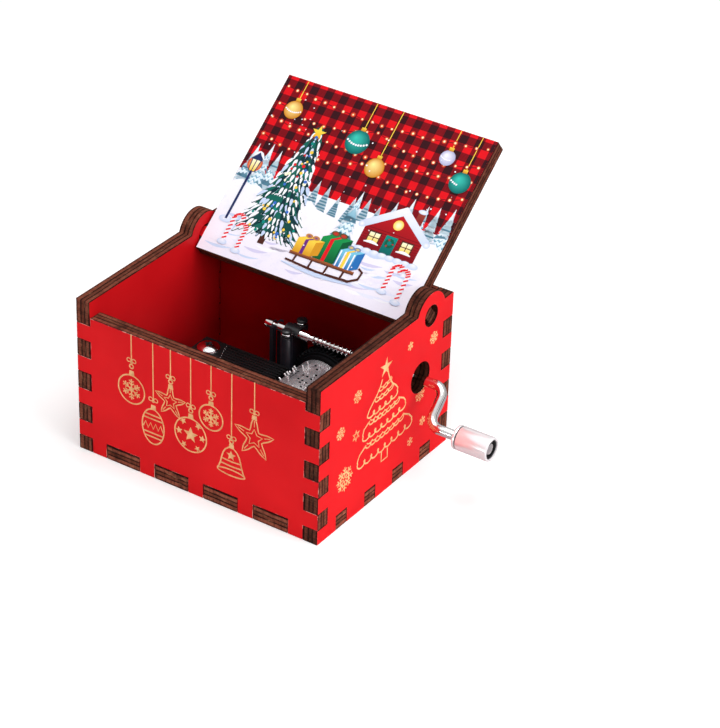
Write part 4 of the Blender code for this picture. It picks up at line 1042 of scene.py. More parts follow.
class Crank:
    """The crank wire with its rolled worm, and the knob that turns on it."""

    def __init__(self, finishes: Finishes, sizes: CrankSizes = CrankSizes()) -> None:
        """Keep the finishes and sizes."""
        self.finishes = finishes
        self.sizes = sizes

    def _at(self, x: float, arm: float = 0.0) -> Vector:
        """A point x mm along the crank's axis and arm mm out along the crank's arm."""
        outward = Vector((0, -1, -1)).normalized()
        return pivot("crank_spin") + RIGHT * x * MM + outward * arm * MM

    def _wire(self) -> Piece:
        """Sweep the bent wire with its rounded tail, neck and riveted head."""
        size = self.sizes
        neck_left, neck_right = -size.fork - size.neck_half, -size.fork + size.neck_half
        stations = [(-size.tail, 0, 0.02)]
        for turn in (0.0, 0.5, 1.0, math.pi / 2):
            stations.append((-size.tail + size.wire * 0.45 * (1 - math.cos(turn)), 0,
                             size.wire * (0.55 + 0.45 * math.sin(turn))))
        for x, radius in ((neck_left - 0.06, size.wire), (neck_left, size.neck),
                          (neck_right, size.neck), (neck_right + 0.06, size.wire),
                          (-size.worm_left - 0.35, size.wire),
                          (-size.worm_left, size.worm_root),
                          (size.worm_right, size.worm_root),
                          (size.worm_right + 0.35, size.wire)):
            stations.append((x, 0, radius))
        corner, bend = size.arm_offset, size.bend
        quarter = [math.pi / 2 * step / 12 for step in range(13)]
        stations += [(corner - bend + bend * math.sin(turn), bend * (1 - math.cos(turn)),
                      size.wire) for turn in quarter]
        stations += [(corner + bend * (1 - math.cos(turn)),
                      size.arm - bend + bend * math.sin(turn), size.wire)
                     for turn in quarter]
        shoulder = corner + size.to_knob - 0.3
        head = shoulder + size.knob - 0.45
        for x, radius in ((shoulder - 0.12, size.wire), (shoulder, size.wire * 0.88),
                          (shoulder + 0.05, size.pin), (head - 0.05, size.pin),
                          (head, size.rivet * 0.9), (head + 0.06, size.rivet),
                          (head + 0.24, size.rivet), (head + 0.38, size.rivet * 0.8),
                          (head + 0.44, size.rivet * 0.4), (head + 0.45, 0.02)):
            stations.append((x, size.arm, radius))
        path = ([self._at(x, arm) for x, arm, _ in stations],
                [radius for _, _, radius in stations], False)
        wire = rods("crank_bent_wire", [path], 6)
        clean(wire, 0.001)
        return wire

    def _thread(self) -> Piece:
        """Wind the worm's rounded ridge with a Screw modifier."""
        size = self.sizes
        pitch, root, tip = size.pitch, size.worm_root - 0.04, size.worm_tip
        section = ((root, -0.5), (root, -0.27), (tip - 0.10, -0.13), (tip, -0.06),
                   (tip, 0.06), (tip - 0.10, 0.13), (root, 0.27), (root, 0.5))
        grid = bmesh.new()
        points = [grid.verts.new((radius * MM, 0, share * pitch * MM))
                  for radius, share in section]
        for pair in zip(points, points[1:]):
            grid.edges.new(pair)
        piece = from_grid(grid, "worm_ridge")
        modifier = piece.modifiers.new("worm", "SCREW")
        modifier.axis = "Z"
        modifier.screw_offset = pitch * MM
        modifier.iterations = int((size.worm_left + size.worm_right) / pitch) - 1
        modifier.steps = modifier.render_steps = 32
        modifier.use_merge_vertices = True
        modifier.merge_threshold = 0.002 * MM
        apply_modifiers(piece)
        clean(piece, 0.001)
        low = -int(size.worm_left / pitch) * pitch
        turn = Matrix(((0, 0, 1), (0, 1, 0), (-1, 0, 0))).to_4x4()
        piece.data.transform(Matrix.Translation(self._at(low)) @ turn)
        return piece

    def _map_profile(self, piece: Piece, foot: Vector) -> None:
        """Lay a map along the barrel's profile for its lathe marks, and paint the groove black
        as painted shade.

        Args:
            piece: the barrel, turned about a line along X.
            foot: the point of that line where the barrel starts.
        """
        layer = piece.data.uv_layers.new(name="along_profile")
        for polygon in piece.data.polygons:
            middle = (polygon.center - foot) / MM
            facing = math.atan2(middle.z, middle.y)
            # painted shade: the groove's faces take the black plastic finish
            if 2.3 < math.hypot(middle.y, middle.z) < 2.73 and 0.69 < middle.x < 0.99:
                polygon.material_index = 1
            for index in polygon.loop_indices:
                knot = piece.data.loops[index].vertex_index
                spot = (piece.data.vertices[knot].co - foot) / MM
                angle = math.atan2(spot.z, spot.y)
                angle += math.tau * round((facing - angle) / math.tau)
                layer.data[index].uv = (spot.x + math.hypot(spot.y, spot.z), angle)

    def _knob(self) -> None:
        """Turn the bright barrel with its grooved flange, and the black core."""
        foot = pivot("knob_spin")
        barrel = ((1.05, 0), (2.45, 0), *arc_points((2.45, 0.3), 0.3, -90, 0, 4),
                  (2.75, 0.55), (2.70, 0.68), (2.35, 0.70), (2.35, 0.98), (2.70, 1.0),
                  (2.75, 1.12), (2.75, 8.45), *arc_points((2.45, 8.5), 0.3, 0, 90, 5),
                  (2.3, 8.8), (2.2, 8.68), (2.2, 0.7), (1.05, 0.7))
        core = ((1.05, 1.0), (2.17, 1.0), (2.17, 8.44), (2.1, 8.5), (1.62, 8.5),
                (1.55, 8.44), (1.5, 7.9), (1.42, 7.85), (1.12, 7.85), (1.05, 7.78))
        piece = Turned(barrel, 96, True).build("knob_bright_barrel", foot, RIGHT)
        piece.data.materials.append(self.finishes.satin)
        # the black finish here is painted shade in the groove
        piece.data.materials.append(self.finishes.plastic)
        self._map_profile(piece, foot)
        smooth(piece, 32)
        settle(piece, Body.KNOB, Slot.BRIGHT, "knob_barrel")
        piece = Turned(core, 64, True).build("knob_black_core", foot, RIGHT)
        finish(piece, self.finishes.plastic, 40, Body.KNOB, Slot.PLASTIC, "knob_core")

    def build(self) -> None:
        """Make the wire, its thread and the knob."""
        wire = join([self._wire(), self._thread()], "crank_wire_with_worm")
        finish(wire, self.finishes.chrome, 50, Body.CRANK, Slot.BRIGHT, "crank")
        self._knob()


# The cylinder, its wheel and its arbor


@dataclass(frozen=True)
class DrumSizes:
    """The pinned cylinder's sizes in millimetres and counts."""

    radius: float = 6.6
    rim: float = 0.18
    tracks: int = 18
    track_pitch: float = 0.95
    margin: float = 1.95
    steps: int = 40
    share: float = 0.26
    pit_share: float = 0.80
    pin_radius: float = 0.21
    pin_length: float = 0.65
    pit_radius: float = 0.34
    # painted shadow: a black seat round each pin's foot
    pin_shadow_seat_radius: float = 0.37
    seed: int = 5706


class Drum:
    """The nickel-plated cylinder with bright pins and small pits; the pits' walls and a seat
    round each pin are drawn black as painted shade.
    """

    def __init__(self, finishes: Finishes, sizes: DrumSizes = DrumSizes()) -> None:
        """Keep the finishes and sizes, and scatter the pins."""
        self.finishes = finishes
        self.sizes = sizes
        self.low, self.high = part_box("cylinder")
        chooser = random.Random(sizes.seed)
        self.pins: list[tuple[int, int]] = []
        self.pits: list[tuple[int, int]] = []
        for track in range(sizes.tracks):
            last = -2
            for step in range(sizes.steps - 1):
                if step - last > 1:
                    draw = chooser.random()
                    if draw < sizes.share:
                        self.pins.append((track, step))
                        last = step
                    elif draw > sizes.pit_share:
                        self.pits.append((track, step))

    def _cones(self, grid: bmesh.types.BMesh, spots: Sequence[tuple[int, int]], lift: float,
               radii: Point, length: float) -> None:
        """Stand small cones on the drum.

        Args:
            grid: where the cones are built.
            spots: the track and step of each.
            lift: how far their middles stand above the drum, in millimetres.
            radii: their inner and outer radii in millimetres.
            length: their length in millimetres.
        """
        size = self.sizes
        for track, step in spots:
            angle = math.tau * step / size.steps
            out = Vector((math.sin(angle), 0, math.cos(angle)))
            centre = pivot("cylinder_spin")
            centre.y = self.high.y - (size.margin + (track + 0.5) * size.track_pitch) * MM
            place = Matrix.Translation(centre + out * (size.radius + lift) * MM)
            turn = out.to_track_quat("Z", "Y").to_matrix().to_4x4()
            bmesh.ops.create_cone(grid, cap_ends=True, segments=10, radius1=radii[0] * MM,
                                  radius2=radii[1] * MM, depth=length * MM,
                                  matrix=place @ turn)

    def build(self) -> None:
        """Make the drum, then set its pins and drill its pits."""
        size, finishes = self.sizes, self.finishes
        radius, rim = size.radius, size.rim
        length = (self.high.y - self.low.y) / MM
        foot = pivot("cylinder_spin")
        foot.y = self.low.y
        shell = Turned(((1.15, 0), (radius - 1.0, 0), (radius - 0.85, 0.25),
                        (radius - 0.55, 0.25), (radius - 0.4, 0), (radius - rim, 0),
                        (radius, rim), (radius, length - rim), (radius - rim, length),
                        (1.15, length)), sides=128, ring=True)
        drum = shell.build("pinned_drum", foot, BACK)
        for material in (finishes.nickel, finishes.plastic, finishes.chrome):
            drum.data.materials.append(material)
        # painted shade: the pits and the pins' seats are cut with the black finish, painted
        # shade in the pits and a painted shadow at each pin's foot
        drill = bmesh.new()
        for spots, wide in ((self.pits, size.pit_radius), (self.pins, size.pin_shadow_seat_radius)):
            self._cones(drill, spots, 0, (wide * 0.8, wide), 0.4)
        carve(drum, from_grid(drill, "pit_drill", finishes.plastic))
        smooth(drum, 30)
        pins = bmesh.new()
        self._cones(pins, self.pins, size.pin_length / 2 - 0.15,
                    (size.pin_radius, size.pin_radius * 0.8), size.pin_length + 0.3)
        spikes = from_grid(pins, "drum_pins")
        bevel(spikes, 0.03 * MM, 2, 40)
        settle(drum, Body.CYLINDER, Slot.NICKEL, "cylinder")
        finish(spikes, finishes.pins, 50, Body.CYLINDER, Slot.NICKEL)


class RoundParts:
    """The arbor and the toothed wheel behind the cylinder."""

    def build(self, finishes: Finishes) -> None:
        """Turn the arbor and refine the wheel."""
        low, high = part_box("cylinder_arbor")
        foot = pivot("cylinder_spin")
        foot.y = low.y
        length = (high.y - low.y) / MM
        arbor = Turned(((0, 0), (0.7, 0), (0.9, 0.08), (1.0, 0.25), (1.0, length - 0.25),
                        (0.9, length - 0.08), (0.7, length), (0, length)))
        piece = arbor.build("turned_arbor", foot, BACK)
        finish(piece, finishes.comb, 35, Body.CYLINDER, Slot.COMB, "cylinder_arbor")
        wheel = copy_of_node("worm_wheel", "moulded_worm_wheel")
        bevel(wheel, 0.05 * MM, 2, 25)
        wheel.data.materials.append(finishes.plastic)
        even_shading(wheel, 34)
        settle(wheel, Body.CYLINDER, Slot.PLASTIC, "worm_wheel")


# The fixed parts of the movement


@dataclass(frozen=True)
class Head:
    """A screw's sizes in millimetres: head radius and rise, shank and driver recess."""

    node: str
    radius: float = 1.27
    rise: float = 0.8
    shank: float = 0.65
    recess: float = 0.0


class Movement:
    """The bedplate, comb, bearings, straps, washers and screws."""

    heads = (Head("comb_screw_rear", 2.7, 1.6, 1.0, 1.45),
             Head("comb_screw_front", 2.7, 1.6, 1.0, 1.45),
             Head("bearing_screw", 1.6, 1.0, 0.8, 0.85),
             *(Head(f"strap_screw_{side}_{end}") for side in ("left", "right")
               for end in ("front", "rear")))

    def __init__(self, finishes: Finishes) -> None:
        """Keep the finishes."""
        self.finishes = finishes

    def _refined(self, node: str, name: str, material: Material, slot: Slot,
                 width: float) -> None:
        """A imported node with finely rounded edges, their width in millimetres."""
        piece = copy_of_node(node, name)
        bevel(piece, width * MM, 3, 28)
        piece.data.materials.append(material)
        even_shading(piece, 36)
        settle(piece, Body.BOX, slot, node)

    def _screw(self, head: Head) -> None:
        """Turn a domed screw and cut its driver recess."""
        low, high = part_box(head.node)
        foot = foot_of(head.node)
        seat = (high.z - low.z) / MM - head.rise
        edge = head.rise * 0.3
        profile = ((0, 0), (head.shank * 0.8, 0), (head.shank, 0.25), (head.shank, seat),
                   (head.radius * 0.96, seat), (head.radius, seat + 0.08),
                   *(polar((0, seat + edge), head.radius, 90 * step / 7, head.rise - edge)
                     for step in range(8)))
        piece = Turned(profile, 64).build(f"{head.node}_turned", foot, UP)
        bright = head.recess > 0
        finishes = self.finishes
        piece.data.materials.append(finishes.chrome if bright else finishes.oxide)
        if bright:
            top = foot + UP * (seat + head.rise) * MM
            tool = cross_tool(top, head.recess, head.recess * 0.27, head.rise * 0.6)
            # painted shade: the recess walls take the blackened finish
            tool.data.materials.append(finishes.oxide)
            carve(piece, tool, crossing=True)
            bevel(piece, 0.05 * MM, 2, 40)
        smooth(piece, 34)
        settle(piece, Body.BOX, Slot.BRIGHT if bright else Slot.BLACK_STEEL, head.node)

    def _washer(self, node: str) -> None:
        """Turn a bright washer with rounded rims."""
        low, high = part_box(node)
        outer, thick = (high.x - low.x) / 2 / MM, (high.z - low.z) / MM
        inner, rim = outer * 0.67, 0.06
        ring = Turned(((inner, 0), (outer - rim, 0), (outer, rim), (outer, thick - rim),
                       (outer - rim, thick), (inner, thick)), ring=True)
        piece = ring.build(f"{node}_ring", foot_of(node), UP)
        finish(piece, self.finishes.chrome, 40, Body.BOX, Slot.BRIGHT, node)

    def _comb(self) -> None:
        """Refine the comb and set a bright glint where each slot ends."""
        self._refined("comb", "ground_comb", self.finishes.comb, Slot.COMB, 0.03)
        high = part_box("comb")[1]
        marks = bmesh.new()
        for tooth in range(1, 18):
            root = high.x - (16.8 - 0.34 * tooth + 0.16) * MM
            place = Matrix.Translation((root, high.y - 0.95 * tooth * MM,
                                        high.z - 0.02 * MM))
            bmesh.ops.create_uvsphere(marks, u_segments=10, v_segments=6,
                                      radius=0.09 * MM, matrix=place)
        dots = from_grid(marks, "comb_slot_ends")
        finish(dots, self.finishes.chrome, 60, Body.BOX, Slot.COMB)

    def build(self) -> None:
        """Make every fixed piece of the movement."""
        finishes = self.finishes
        self._refined("bedplate", "cast_bedplate", finishes.casting, Slot.CASTING, 0.12)
        self._refined("front_bearing", "bent_bearing", finishes.casting, Slot.CASTING, 0.1)
        for side in ("left", "right"):
            self._refined(f"{side}_strap", f"{side}_bent_strap", finishes.oxide,
                          Slot.BLACK_STEEL, 0.05)
            for end in ("front", "rear"):
                self._washer(f"washer_{side}_{end}")
        self._comb()
        for head in self.heads:
            self._screw(head)
        for index in (1, 2, 3):
            self._refined(f"mounting_screw_{index}", f"countersunk_screw_{index}",
                          finishes.oxide, Slot.COMB, 0.05)


# The lid and the picture printed inside it


def ink(red: int, green: int, blue: int) -> Colour:
    """An sRGB colour of 0 to 255 in linear values."""
    shares = (red / 255, green / 255, blue / 255)
    return tuple(((share + 0.055) / 1.055) ** 2.4 if share > 0.04 else share / 12.92
                 for share in shares)


SNOW = ink(246, 244, 252)
SHADE = ink(200, 214, 242)
LILAC = ink(240, 234, 248)
NAVY = ink(38, 48, 92)
TEAL = ink(14, 138, 128)
PINE = ink(16, 70, 66)
SCARLET = ink(222, 26, 38)
WINE = ink(118, 10, 24)
GOLD = ink(250, 208, 74)
LAMP = ink(255, 248, 214)
BARK = ink(74, 36, 30)
PLUM = ink(104, 42, 128)


@dataclass(frozen=True)
class PrintInk:
    """Satin ink, brushed and slightly mottled, and a woven check where it is cloth."""

    square: float = 2.0
    thread: float = 0.42
    bright: Colour = ink(222, 16, 28)
    middle: Colour = ink(132, 6, 20)
    dark: Colour = ink(46, 4, 14)

    def _finish(self, shader: Shader, tone: Socket) -> Material:
        """Add brush marks and the satin surface to a colour."""
        marks = shader.noise(shader.place((1, 0.5, 1.6)), 2400, 4, 0.7, 0.5)
        cloud = shader.noise(shader.place(), 380, 4, 0.6)
        for value, low, grey, high in ((marks, 0.25, (0.88, 0.88, 0.92), 0.42),
                                       (cloud, 0.3, (0.94, 0.95, 0.98), 0.46)):
            shade = shader.ramp(value, ((low, grey), (high, (1, 1, 1))))
            tone = shader.mix(1.0, tone, shade, "MULTIPLY")
        shader.set(Base_Color=tone, Roughness=shader.fit(cloud, 0.3, 0.7, 0.36, 0.5),
                   Normal=shader.bump(marks, 0.01 * MM, 0.3), Specular_IOR_Level=0.12)
        return shader.material

    def painted(self) -> Material:
        """The material that reads each shape's own colour."""
        shader = Shader("printed ink")
        colour = shader.add("ShaderNodeVertexColor", layer_name="ink")
        return self._finish(shader, colour.outputs["Color"])

    def woven(self) -> Material:
        """The checked cloth: two crossing bands with fine diagonal threads."""
        shader = Shader("printed check")
        spot = shader.add("ShaderNodeUVMap", uv_map="face_mm").outputs["UV"]
        across, along = shader.part(spot, Axis.X), shader.part(spot, Axis.Y)
        bands = []
        for value in (across, along):
            place = shader.sum("FRACT", shader.sum("DIVIDE", value, self.square * 2))
            edge = shader.sum("ABSOLUTE", shader.sum("SUBTRACT", place, 0.5))
            bands.append(shader.fit(edge, 0.24, 0.26))
        turn = shader.sum("MULTIPLY", shader.sum("ADD", across, along),
                          math.tau / self.thread)
        single = shader.mix(shader.fit(shader.sum("SINE", turn), -0.6, 0.6), self.middle,
                            self.dark)
        single = shader.mix(0.55, single, self.middle)
        tone = shader.mix(shader.sum("MAXIMUM", *bands), self.bright, single)
        return self._finish(shader, shader.mix(shader.sum("MULTIPLY", *bands), tone,
                                               self.dark))


class Picture:
    """Flat inked shapes on the lid's inner face, each one slightly above the last."""

    left, right, foot, top = -27.9, 27.9, -4.1, 41.75
    coat = 0.0009
    coats = 14
    half_thick = 1.8
    face = half_thick + 0.01
    tilt = math.radians(39.147)

    def __init__(self) -> None:
        """Start an empty picture."""
        self.grid = bmesh.new()
        self.colour = self.grid.loops.layers.float_color.new("ink")
        self.flat = self.grid.loops.layers.uv.new("face_mm")
        self.base = 0
        self.count = 0
        self.dice = random.Random(7)
        self.origin = pivot("lid_hinge")
        self.up = Vector((0, math.cos(self.tilt), math.sin(self.tilt)))
        self.out = Vector((0, -self.up.z, self.up.y))

    def next_coat(self) -> None:
        """Draw what follows over everything drawn so far."""
        self.base += self.coats
        self.count = 0

    def _knots(self, points: Sequence[Point]) -> list[bmesh.types.BMVert]:
        """Vertices for points of the face, all at the next height."""
        lift = self.face + (self.base + self.count % self.coats) * self.coat
        self.count += 1
        return [self.grid.verts.new(self.origin + (Vector((u, 0, 0)) + self.up * v
                                                   + self.out * lift) * MM)
                for u, v in points]

    def _face(self, knots: Sequence[bmesh.types.BMVert], points: Sequence[Point],
              colours: Sequence[Colour], cloth: bool = False) -> None:
        """One inked polygon."""
        face = self.grid.faces.new(knots)
        face.material_index = int(cloth)
        for loop, point, colour in zip(face.loops, points, colours):
            loop[self.colour] = (*colour, 1.0)
            loop[self.flat].uv = point

    def fill(self, points: Sequence[Point], colour: Colour, foot: Colour | None = None,
             cloth: bool = False) -> None:
        """Fill a shape, shading towards another colour at its foot if one is given."""
        low, high = min(v for _, v in points), max(v for _, v in points)
        colours = []
        for _, v in points:
            share = (v - low) / (high - low)
            colours.append(tuple(b + (c - b) * share
                                 for b, c in zip(foot or colour, colour)))
        self._face(self._knots(points), points, colours, cloth)

    def slab(self, left: float, low: float, right: float, high: float, colour: Colour,
             foot: Colour | None = None, cloth: bool = False) -> None:
        """Fill an upright rectangle."""
        self.fill([(left, low), (right, low), (right, high), (left, high)], colour, foot,
                  cloth)

    def disc(self, centre: Point, radius: float, middle: Colour, rim: Colour,
             tall: float = 1.0, shine: Point = (0, 0)) -> None:
        """A round shape whose colour runs from its middle, or its shine, to its rim."""
        count = 12 if radius < 0.8 else 28
        ring = [polar(centre, radius, 360 * step / count, radius * tall)
                for step in range(count)]
        heart = (centre[0] + shine[0] * radius, centre[1] + shine[1] * radius)
        knots = self._knots([heart, *ring])
        for step in range(count):
            after = (step + 1) % count
            self._face((knots[0], knots[step + 1], knots[after + 1]),
                       (heart, ring[step], ring[after]), (middle, rim, rim))

    def stroke(self, points: Sequence[Point], width: float, colour: Colour,
               ends: float = 0.3) -> None:
        """A brush stroke along points, thinner at both ends."""
        left, right = [], []
        last = len(points) - 1
        for index, (u, v) in enumerate(points):
            before, after = points[max(index - 1, 0)], points[min(index + 1, last)]
            along = Vector((after[0] - before[0], after[1] - before[1])).normalized()
            half = width / 2 * (ends + (1 - ends) * math.sin(math.pi * index / last))
            left.append((u - along.y * half, v + along.x * half))
            right.append((u + along.y * half, v - along.x * half))
        spots = left + right
        knots = self._knots(spots)
        size = len(left)
        for index in range(last):
            order = (index + size, index + 1 + size, index + 1, index)
            self._face([knots[i] for i in order], [spots[i] for i in order], [colour] * 4)

    def bar(self, start: Point, end: Point, width: float, colour: Colour,
            rise: float = 0.0) -> None:
        """A line of even width, its middle raised if a rise is given."""
        middle = ((start[0] + end[0]) / 2, (start[1] + end[1]) / 2 + rise)
        self.stroke([start, middle, end], width, colour, 1.0)

    def bend(self, start: Point, end: Point, sag: float, steps: int = 6) -> list[Point]:
        """Points of a sagging line."""
        return [(start[0] + (end[0] - start[0]) * step / steps,
                 start[1] + (end[1] - start[1]) * step / steps
                 - sag * math.sin(math.pi * step / steps)) for step in range(steps + 1)]

    def piece(self, name: str, *materials: Material) -> Piece:
        """The finished picture as an object, cut off at the print's edges."""
        middle = self.origin + self.up * (self.foot + self.top) / 2 * MM
        for way, reach in ((RIGHT, self.right), (self.up, (self.top - self.foot) / 2)):
            for hand in (-1, 1):
                everything = [*self.grid.verts, *self.grid.edges, *self.grid.faces]
                bmesh.ops.bisect_plane(self.grid, geom=everything,
                                       plane_co=middle + way * hand * reach * MM,
                                       plane_no=way * hand, clear_outer=True)
        return from_grid(self.grid, name, *materials)


class WinterScene(Picture):
    """A cabin, a decorated fir and gifts in the snow under a checked cloth sky."""

    horizon = 17.0
    sea = (ink(60, 196, 180), ink(6, 92, 90))
    amber = (ink(255, 236, 150), ink(206, 130, 30))
    hung = ((-3.6, 31.5, 3.0, *sea), (3.4, 27.0, 2.4, *amber), (24.2, 30.0, 2.6, *sea),
            (18.6, 34.6, 1.9, SNOW, ink(170, 170, 206)), (-22.4, 34.0, 2.3, *amber))

    def draw(self) -> None:
        """Draw from the back to the front."""
        self.slab(self.left, self.foot, self.right, self.top, SNOW)
        self.slab(self.left, self.horizon, self.right, self.top, SNOW, cloth=True)
        self.next_coat()
        self.garlands()
        self.far_trees()
        self.ground()
        self.next_coat()
        self.cabin(15.6, 8.6)
        self.next_coat()
        self.great_fir(-13.6, 3.2, 27.5, 8.8)
        self.small_fir(4.0, 8.4, 12.5)
        self.lantern(-24.6, 4.5)
        self.next_coat()
        self.baubles()
        self.sledge(2.6, 0.2)
        self.canes()
        self.sparkles()

    def garlands(self) -> None:
        """Rows of warm lights strung across the cloth, and the baubles' strings."""
        lights: list[Point] = []
        count = 21
        for level, sag, swags in ((39.4, 2.2, 1), (35.2, 2.6, 2), (31.0, 2.2, 1),
                                  (26.8, 2.4, 2)):
            cord = []
            for step in range(count):
                share = (step + 0.5) / count
                swing = abs(math.sin(math.pi * share * swags))
                cord.append((self.left + (self.right - self.left) * share,
                             level - sag * swing + self.dice.uniform(-0.25, 0.25)))
            self.stroke(cord, 0.16, ink(84, 12, 22), 1.0)
            lights += cord
        for u, v, size, _, _ in self.hung:
            self.bar((u, v + size), (u, self.top), 0.2, GOLD)
        self.next_coat()
        for spot in lights:
            self.disc(spot, self.dice.uniform(0.46, 0.66), ink(255, 120, 60),
                      ink(176, 18, 28))
            self.disc(spot, self.dice.uniform(0.2, 0.3), LAMP, ink(255, 226, 170))

    def small_fir(self, u: float, v: float, height: float) -> None:
        """A frosted fir: pale blue tiers of drooping boughs under ragged snow."""
        tiers, points = 8, 8
        layers = ((1.0, -0.1, ink(168, 208, 226), ink(104, 162, 188)),
                  (0.86, 0.3, SNOW, ink(214, 236, 246)))
        for tier in range(tiers):
            low = v + height * tier / (tiers + 1)
            wide = height * 0.24 * (1 - tier / tiers) ** 0.85 + 0.15
            for size, drop, light, deep in layers:
                jag = []
                for step in range(points + 1):
                    side = 1 - 2 * step / points
                    notch = 0.8 * self.dice.uniform(0.5, 1.2) if step % 2 else 0.0
                    jag.append((u + wide * size * side,
                                low + drop + notch - 0.55 * abs(side) ** 1.5))
                self.fill([(u, low + height * 0.24), *reversed(jag)], light, deep)

    def far_trees(self) -> None:
        """Groups of pale firs on the horizon, tallest at both sides."""
        places = [self.left + 2.0]
        while places[-1] < self.right - 4.5:
            places.append(places[-1] + self.dice.uniform(2.6, 4.2))
        for row in (places[::2], places[1::2]):
            self.next_coat()
            for u in row:
                tall = 5.5 + 6.5 * (abs(u) / self.right) ** 1.5
                self.count = 0
                self.small_fir(u, self.horizon - 3.8, tall * self.dice.uniform(0.85, 1.2))

    def ground(self) -> None:
        """Drifts of snow with blue and lilac hollows."""
        self.next_coat()
        draw = self.dice.uniform
        crest = [(self.left + (self.right - self.left) * step / 24,
                  self.horizon - 3.4 + 0.9 * math.sin(step * 0.9)
                  + 0.5 * math.sin(step * 2.3)) for step in range(25)]
        self.fill([(self.left, self.foot), (self.right, self.foot), *reversed(crest)],
                  SNOW, LILAC)
        for index in range(60):
            u = draw(self.left + 4, self.right - 4)
            v = self.foot + 1.2 + (self.horizon - 6.2) * self.dice.random() ** 0.8 + 0.6
            reach = draw(1.4, 3.6)
            tone = (SHADE, LILAC, SNOW, ink(232, 232, 250), ink(212, 206, 236))[index % 5]
            self.stroke(self.bend((u - reach, v), (u + reach, v + 0.4), 0.4),
                        draw(0.3, 0.9), tone, 0.1)

    def great_fir(self, u: float, v: float, height: float, half: float) -> None:
        """A large snow-laden fir with baubles and lights, under a gold star."""
        draw = self.dice.uniform
        self.stroke([(u, v - 1.6), (u, v + 0.6), (u, v + 3)], 1.6, BARK, 1.0)
        self.fill([(u - half * 0.92, v + 0.5), (u + half * 0.92, v + 0.5), (u, v + height)],
                  PINE, ink(12, 44, 48))
        rows = 15
        step = height / rows
        greens = (PINE, ink(20, 96, 84), ink(12, 48, 56))
        for row in range(rows):
            level = v + height * row / rows
            wide = half * (1 - row / rows) ** 0.9 + 0.4
            boughs = max(3, round(wide * 1.7))
            if row % 5 == 4:
                self.next_coat()
            for bough in range(boughs):
                side = -1 + 2 * bough / (boughs - 1)
                tip = (u + side * wide * draw(0.85, 1.05),
                       level + draw(-0.5, 0.3) - abs(side) * 0.5)
                root = (u + side * wide * 0.45, level + step * 1.7)
                self.stroke(self.bend(root, tip, -0.35, 4), 1.0,
                            greens[self.dice.randrange(3)], 0.35)
                cover = self.bend((u + side * wide * 0.72, level + step * 0.85),
                                  (tip[0], tip[1] + 0.15), -0.3, 4)
                self.stroke(cover, draw(0.5, 0.95),
                            SNOW if self.dice.random() < 0.7 else SHADE)
        self.next_coat()
        for _ in range(46):
            share = self.dice.random() ** 1.3
            reach = half * (1 - share) * 0.85
            spot = (u + draw(-reach, reach), v + 0.8 + height * share * 0.93)
            tone = (SCARLET, GOLD, TEAL, ink(60, 110, 200), LAMP)[self.dice.randrange(5)]
            self.disc(spot, draw(0.26, 0.44), tone, tone, shine=(-0.3, 0.4))
        self.fill(star_points((u, v + height), 1.9, 0.8), ink(255, 232, 90),
                  ink(240, 170, 30))

    def window(self, x: float, low: float) -> None:
        """A lit window with a cross of bars and snow on its sill."""
        high, middle = low + 2.8, low + 1.4
        self.slab(x - 1.6, low, x + 1.6, high, BARK)
        self.slab(x - 1.3, low + 0.3, x + 1.3, high - 0.3, LAMP, GOLD)
        self.bar((x, low + 0.3), (x, high - 0.3), 0.22, BARK)
        self.bar((x - 1.3, middle), (x + 1.3, middle), 0.22, BARK)
        self.stroke(self.bend((x - 1.9, low - 0.1), (x + 1.9, low - 0.1), -0.3), 0.7, SNOW)

    def cabin(self, u: float, v: float) -> None:
        """A red log cabin with lit windows under deep snow."""
        wide, tall, rise = 7.4, 5.6, 5.2
        ridge = v + tall + rise
        self.fill([(u - wide, v), (u + wide, v), (u + wide, v + tall), (u, ridge),
                   (u - wide, v + tall)], ink(190, 24, 32), ink(120, 12, 24))
        for row in range(9):
            level = v + 0.62 * (row + 0.5)
            self.bar((u - wide, level), (u + wide, level), 0.16, WINE, 0.05)
        self.fill([(u + 3.1, v + 9.6), (u + 4.9, v + 8.2), (u + 4.9, v + 12.2),
                   (u + 3.1, v + 12.2)], ink(150, 62, 50), WINE)
        self.disc((u + 4.0, v + 12.3), 1.2, SNOW, SHADE, 0.45)
        self.next_coat()
        for hand in (-1, 1):
            eave = (u + hand * (wide + 1.3), v + tall - 1.0)
            roof = [(u, ridge + 1.5), (eave[0], eave[1] + 1.6), eave,
                    (u + hand * wide, v + tall - 0.6), (u, ridge - 0.8)]
            self.fill(roof[::hand], SNOW, SHADE)
            self.disc((eave[0] - hand * 0.3, eave[1] + 0.75), 0.85, SNOW, SHADE, 0.9)
            self.window(u + hand * 4.2, v + 1.8)
        self.slab(u - 1.5, v - 0.2, u + 1.5, v + 4.7, TEAL, ink(8, 78, 80))
        self.disc((u, v + 7.6), 1.25, LAMP, GOLD)
        for step in range(12):
            self.disc(polar((u, v + 3.0), 0.85, 30 * step), 0.34,
                      ink(20, 110, 60) if step % 4 else SCARLET, PINE)
        for index in range(9):
            self.disc((u - wide - 0.8 + index * 2.0, v - 0.3), 1.3, SNOW, SHADE, 0.55,
                      shine=(0, 0.4))

